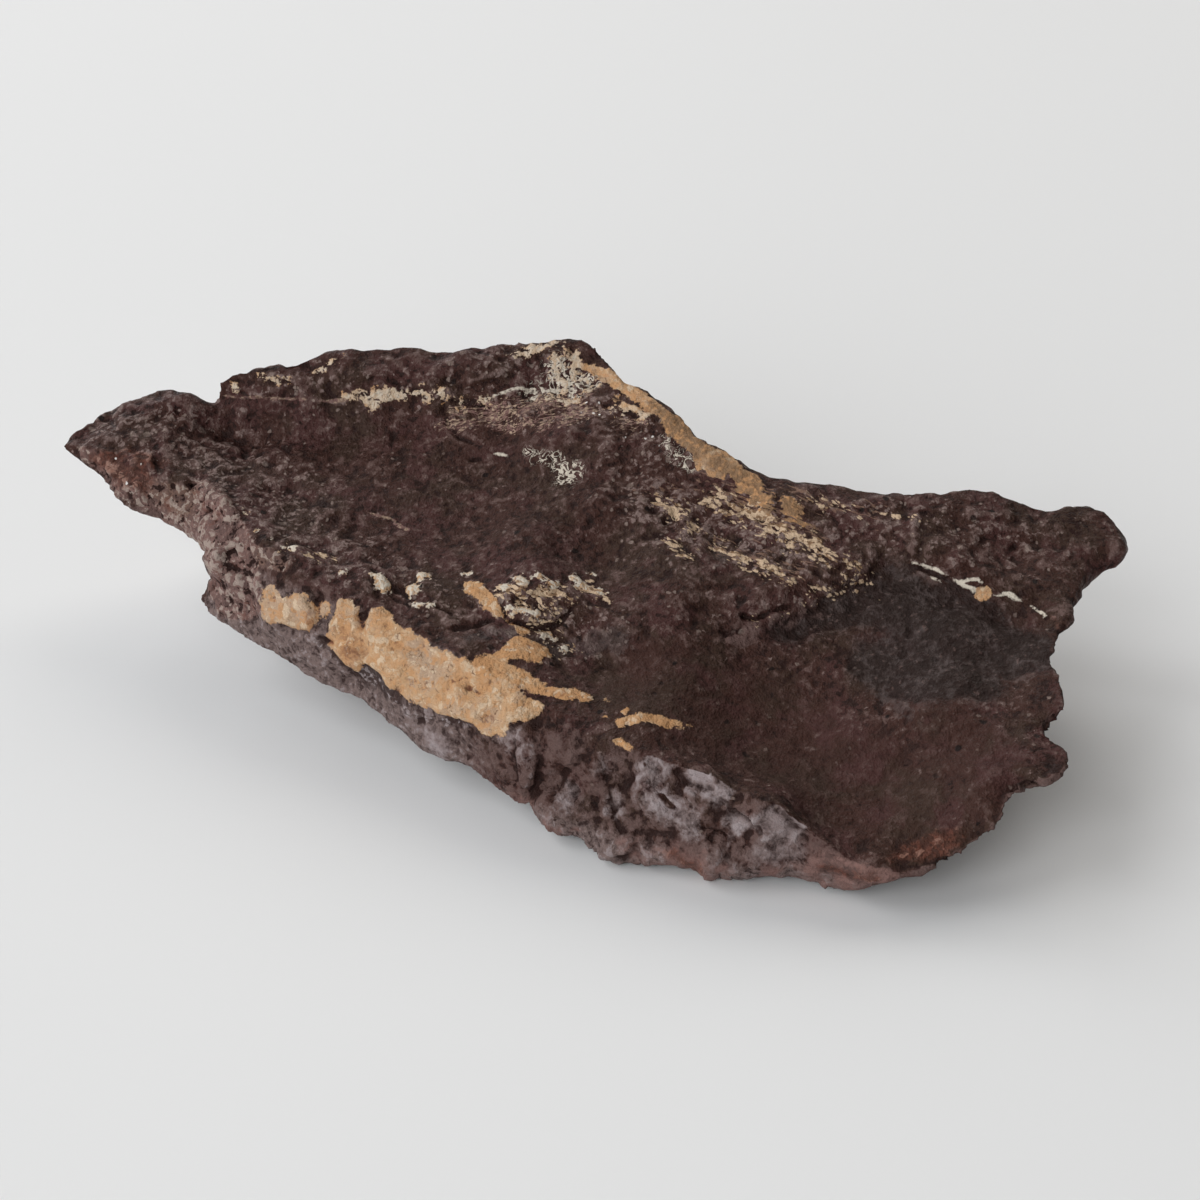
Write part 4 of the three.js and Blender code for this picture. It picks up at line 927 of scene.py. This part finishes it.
def weathered_stone_material():
    p = Painter("weathered_stone")
    f = StoneFields(p)
    light = p.sum((f.mottle, 0.5), (f.fleck, 0.4), (f.shard, 0.1))
    slate = p.blend(light, 0.46, 0.66, SLATE, STEEL, 0.75)
    gritty = p.sum((f.fleck, 0.6), (f.grit, 0.4))
    slate = p.blend(gritty, 0.64, 0.74, slate, MAUVE, 0.5)
    top = p.mix(f.edge("slab", -0.6, 0.5, 2.2, 0.87), weathered_top(p, f), slate)
    stone = p.mix(f.edge("flank", 0.2, 0.6), top, broken_flank(p, f, top))
    stone = p.mix(f.edge("fracture", -0.05, 0.15, 1.2, 0.9), stone, fresh_fracture(p, f))
    rust = p.blend(gritty, 0.45, 0.62, RUST_DEEP, BRICK)
    rust = p.blend(p.sum((f.fleck, 0.4), (f.shard, 0.4), (f.hollow, -1.5)), 0.5, 0.57, rust, RUST_ORANGE)
    stone = p.mix(f.edge("rust", -0.1, 0.3, 1.6, 0.8), stone, rust)
    stone = p.mix(f.edge("blue", 0.0, 0.4, 3.0, 0.4), stone, STEEL)
    # Painted shade: dark umber in the hollows of the whole stone.
    stone = p.blend(f.hollow, 0.05, 0.18, stone, DARK_UMBER, 0.7)

    streaked = p.noise(0.2, 2, 0.6, 0.5, seed=4, stretch=4, turn=-30)
    lined = p.noise(0.13, 2, 0.6, 1.2, seed=4, stretch=4, turn=8)
    striae = p.between(p.sum((p.mark("striae"), 0.25), (lined, 0.8), (f.mottle, 0.3)), 0.53, 0.62, 0, 0.9)
    streaks = p.between(p.sum((p.mark("streaks"), 0.22), streaked), 0.56, 0.64, 0, 0.75)
    clot, clot_lot = p.specks(0.16, 9, stretch=2.4, turn=-36)
    speckled = p.noise(0.45, 3, 0.75, 0.6, seed=5, stretch=2.2, turn=-36)
    clots = p.sum((p.mark("speckle"), 0.34), speckled, (clot, -0.3), (clot_lot, 0.18))
    speckle = p.between(clots, 0.5, 0.57)
    laced = p.math("ABSOLUTE", p.math("SUBTRACT", p.noise(0.34, 2, 0.55, 0.6, seed=6), 0.5))
    lace = p.between(p.sum((p.mark("lace"), 0.12), (laced, -1.0)), -0.05, -0.01)
    crumbling = p.times(p.between(p.mark("streaks"), -0.3, 0.4), p.sum((streaked, 1.6), -0.9))
    crust = p.between(p.sum(p.mark("crust"), (f.ragged, 1.1), crumbling), -0.03, 0.05)
    crust = p.most(crust, f.edge("knot", -0.03, 0.03, 0.5), f.edge("valley", -0.04, 0.08, 4.0))
    vein = f.edge("vein", -0.05, 0.01, 0.4)
    scratch = f.edge("scratch", -0.04, 0.01, 0.3, 0.7)
    clot_edge = f.edge("clots", -0.04, 0.04, 2.2)

    stone = p.mix(p.most(striae, scratch), stone, p.blend(f.grit, 0.4, 0.7, PINK_CLAY, DULL_CREAM))
    stone = p.mix(streaks, stone, p.mix(f.fleck, PINK_CLAY, RIM_OLIVE))
    flaky = p.sum((clot_lot, 0.4), (f.grit, 0.3), (f.fleck, 0.3))
    stone = p.mix(speckle, stone, p.blend(flaky, 0.38, 0.58, RIM_OLIVE, CALICHE_PALE))
    stone = p.mix(p.most(lace, vein), stone, LACE_WHITE)
    # Cream clots, whiter on their tops: partly painted highlight.
    creamy = p.sum((f.grit, 0.4), (f.fleck, 0.6), (f.hollow, -1.0))
    stone = p.mix(clot_edge, stone, p.blend(creamy, 0.36, 0.62, CALICHE_TAN, LACE_WHITE))
    glint_gap, glint_lot = p.specks(0.28, 21)
    glint = p.times(p.between(glint_lot, 0.76, 0.79), p.between(glint_gap, 0.26, 0.16))
    stone = p.mix(p.times(glint, f.edge("glints", -0.1, 0.2)), stone, GLINT_WHITE)
    stone = p.mix(crust, stone, caliche(p, f))
    p.feed(p.shader.inputs["Base Color"], stone)

    pale = p.most(crust, speckle, lace)
    gloss = p.between(p.sum((f.fleck, 0.6), (f.dust, 0.4)), 0.35, 0.65, 0.7, 0.42)
    p.feed(p.shader.inputs["Roughness"], p.sum((pale, 0.3), gloss))
    p.shader.inputs["Specular IOR Level"].default_value = 0.1

    fine = p.sum((f.fleck, 0.5), (f.dust, 0.22), (f.mottle, 0.2), (f.granule, -0.2), (f.grit, 0.12),
                 (pale, 0.08))
    sunk, proud = p.between(f.speck_lot, 0.14, 0.08), p.between(f.speck_lot, 0.74, 0.8)
    fine = p.sum(fine, (sunk, -0.2), (proud, 0.1))
    p.feed(p.shader.inputs["Normal"], p.bump(fine, 0.24))
    return p.material


def floor_material():
    p = Painter("pale_paper")
    p.shader.inputs["Base Color"].default_value = colour(0.8, 0.8, 0.8)
    p.shader.inputs["Roughness"].default_value = 0.8
    p.shader.inputs["Specular IOR Level"].default_value = 0.2
    return p.material


# ---- Studio ----

COOL = (0.97, 0.985, 1.0)
WARM = (1.0, 0.95, 0.88)
# Soft boxes: turn round the stone from the camera's side towards +X, rise, watts and tint.
SOFT_BOXES = [
    ("front_box", -30, 26, 6.0, COOL),
    ("left_box", -90, 40, 4.0, COOL),
    ("back_box", -150, 26, 4.2, COOL),
    ("far_right_box", 150, 40, 2.8, WARM),
]
BOX_DISTANCE = 0.9
BOX_SIZE = 0.8
ROOM_LIGHT = 0.03
FLOOR_SIZE = 4.0
FLOOR_DROP = 0.00002     # keeps the floor clear of the worn flat


def build_floor():
    mesh = bpy.data.meshes.new("floor")
    shape = bmesh.new()
    bmesh.ops.create_grid(shape, x_segments=1, y_segments=1, size=FLOOR_SIZE / 2)
    bmesh.ops.translate(shape, vec=(0, 0, CAD_BOX[0].z - FLOOR_DROP), verts=shape.verts)
    shape.to_mesh(mesh)
    shape.free()
    floor = bpy.data.objects.new("floor", mesh)
    mesh.materials.append(floor_material())
    bpy.context.scene.collection.objects.link(floor)


def aimed(thing, place, target):
    thing.location = place
    thing.rotation_euler = (Vector(target) - Vector(place)).to_track_quat("-Z", "Y").to_euler()
    bpy.context.scene.collection.objects.link(thing)


def soft_light(name, place, target, size, power, tint):
    lamp = bpy.data.lights.new(name, "AREA")
    lamp.shape = "DISK"
    lamp.size = size
    lamp.energy = power
    lamp.color = tint
    aimed(bpy.data.objects.new(name, lamp), place, target)


def build_studio():
    middle = (CAD_BOX[0] + CAD_BOX[1]) / 2
    for name, turn, rise, power, tint in SOFT_BOXES:
        turn, rise = math.radians(turn), math.radians(rise)
        away = Vector((math.sin(turn) * math.cos(rise), -math.cos(turn) * math.cos(rise), math.sin(rise)))
        soft_light(name, middle + away * BOX_DISTANCE, middle, BOX_SIZE, power, tint)
    world = bpy.data.worlds.new("room")
    world.use_nodes = True
    glow = world.node_tree.nodes["Background"].inputs
    glow["Color"].default_value = colour(1.0, 1.0, 1.0)
    glow["Strength"].default_value = ROOM_LIGHT
    bpy.context.scene.world = world
    bpy.context.scene.view_settings.view_transform = "Standard"


CAMERA_RISE = math.radians(32)
CAMERA_REACH = 0.113
CAMERA_LENS = 80
CAMERA_SENSOR = 36
CAMERA_CLIP = (0.001, 50)
AIM = Vector((0.0009, 0.0005, 0.005))   # from the middle of the base


def build_camera():
    low, high = CAD_BOX
    base = Vector(((low.x + high.x) / 2, (low.y + high.y) / 2, low.z))
    target = base + AIM
    lens = bpy.data.cameras.new("camera")
    lens.lens = CAMERA_LENS
    lens.sensor_width = CAMERA_SENSOR
    lens.clip_start, lens.clip_end = CAMERA_CLIP
    camera = bpy.data.objects.new("camera", lens)
    back = Vector((0, -math.cos(CAMERA_RISE), math.sin(CAMERA_RISE)))
    aimed(camera, target + back * CAMERA_REACH, target)
    bpy.context.scene.camera = camera


# ---- Assembly ----

stone = build_stone()
stone.data.materials.clear()
stone.data.materials.append(weathered_stone_material())
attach(stone, "root")
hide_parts("meteorite")
build_floor()
build_studio()
build_camera()
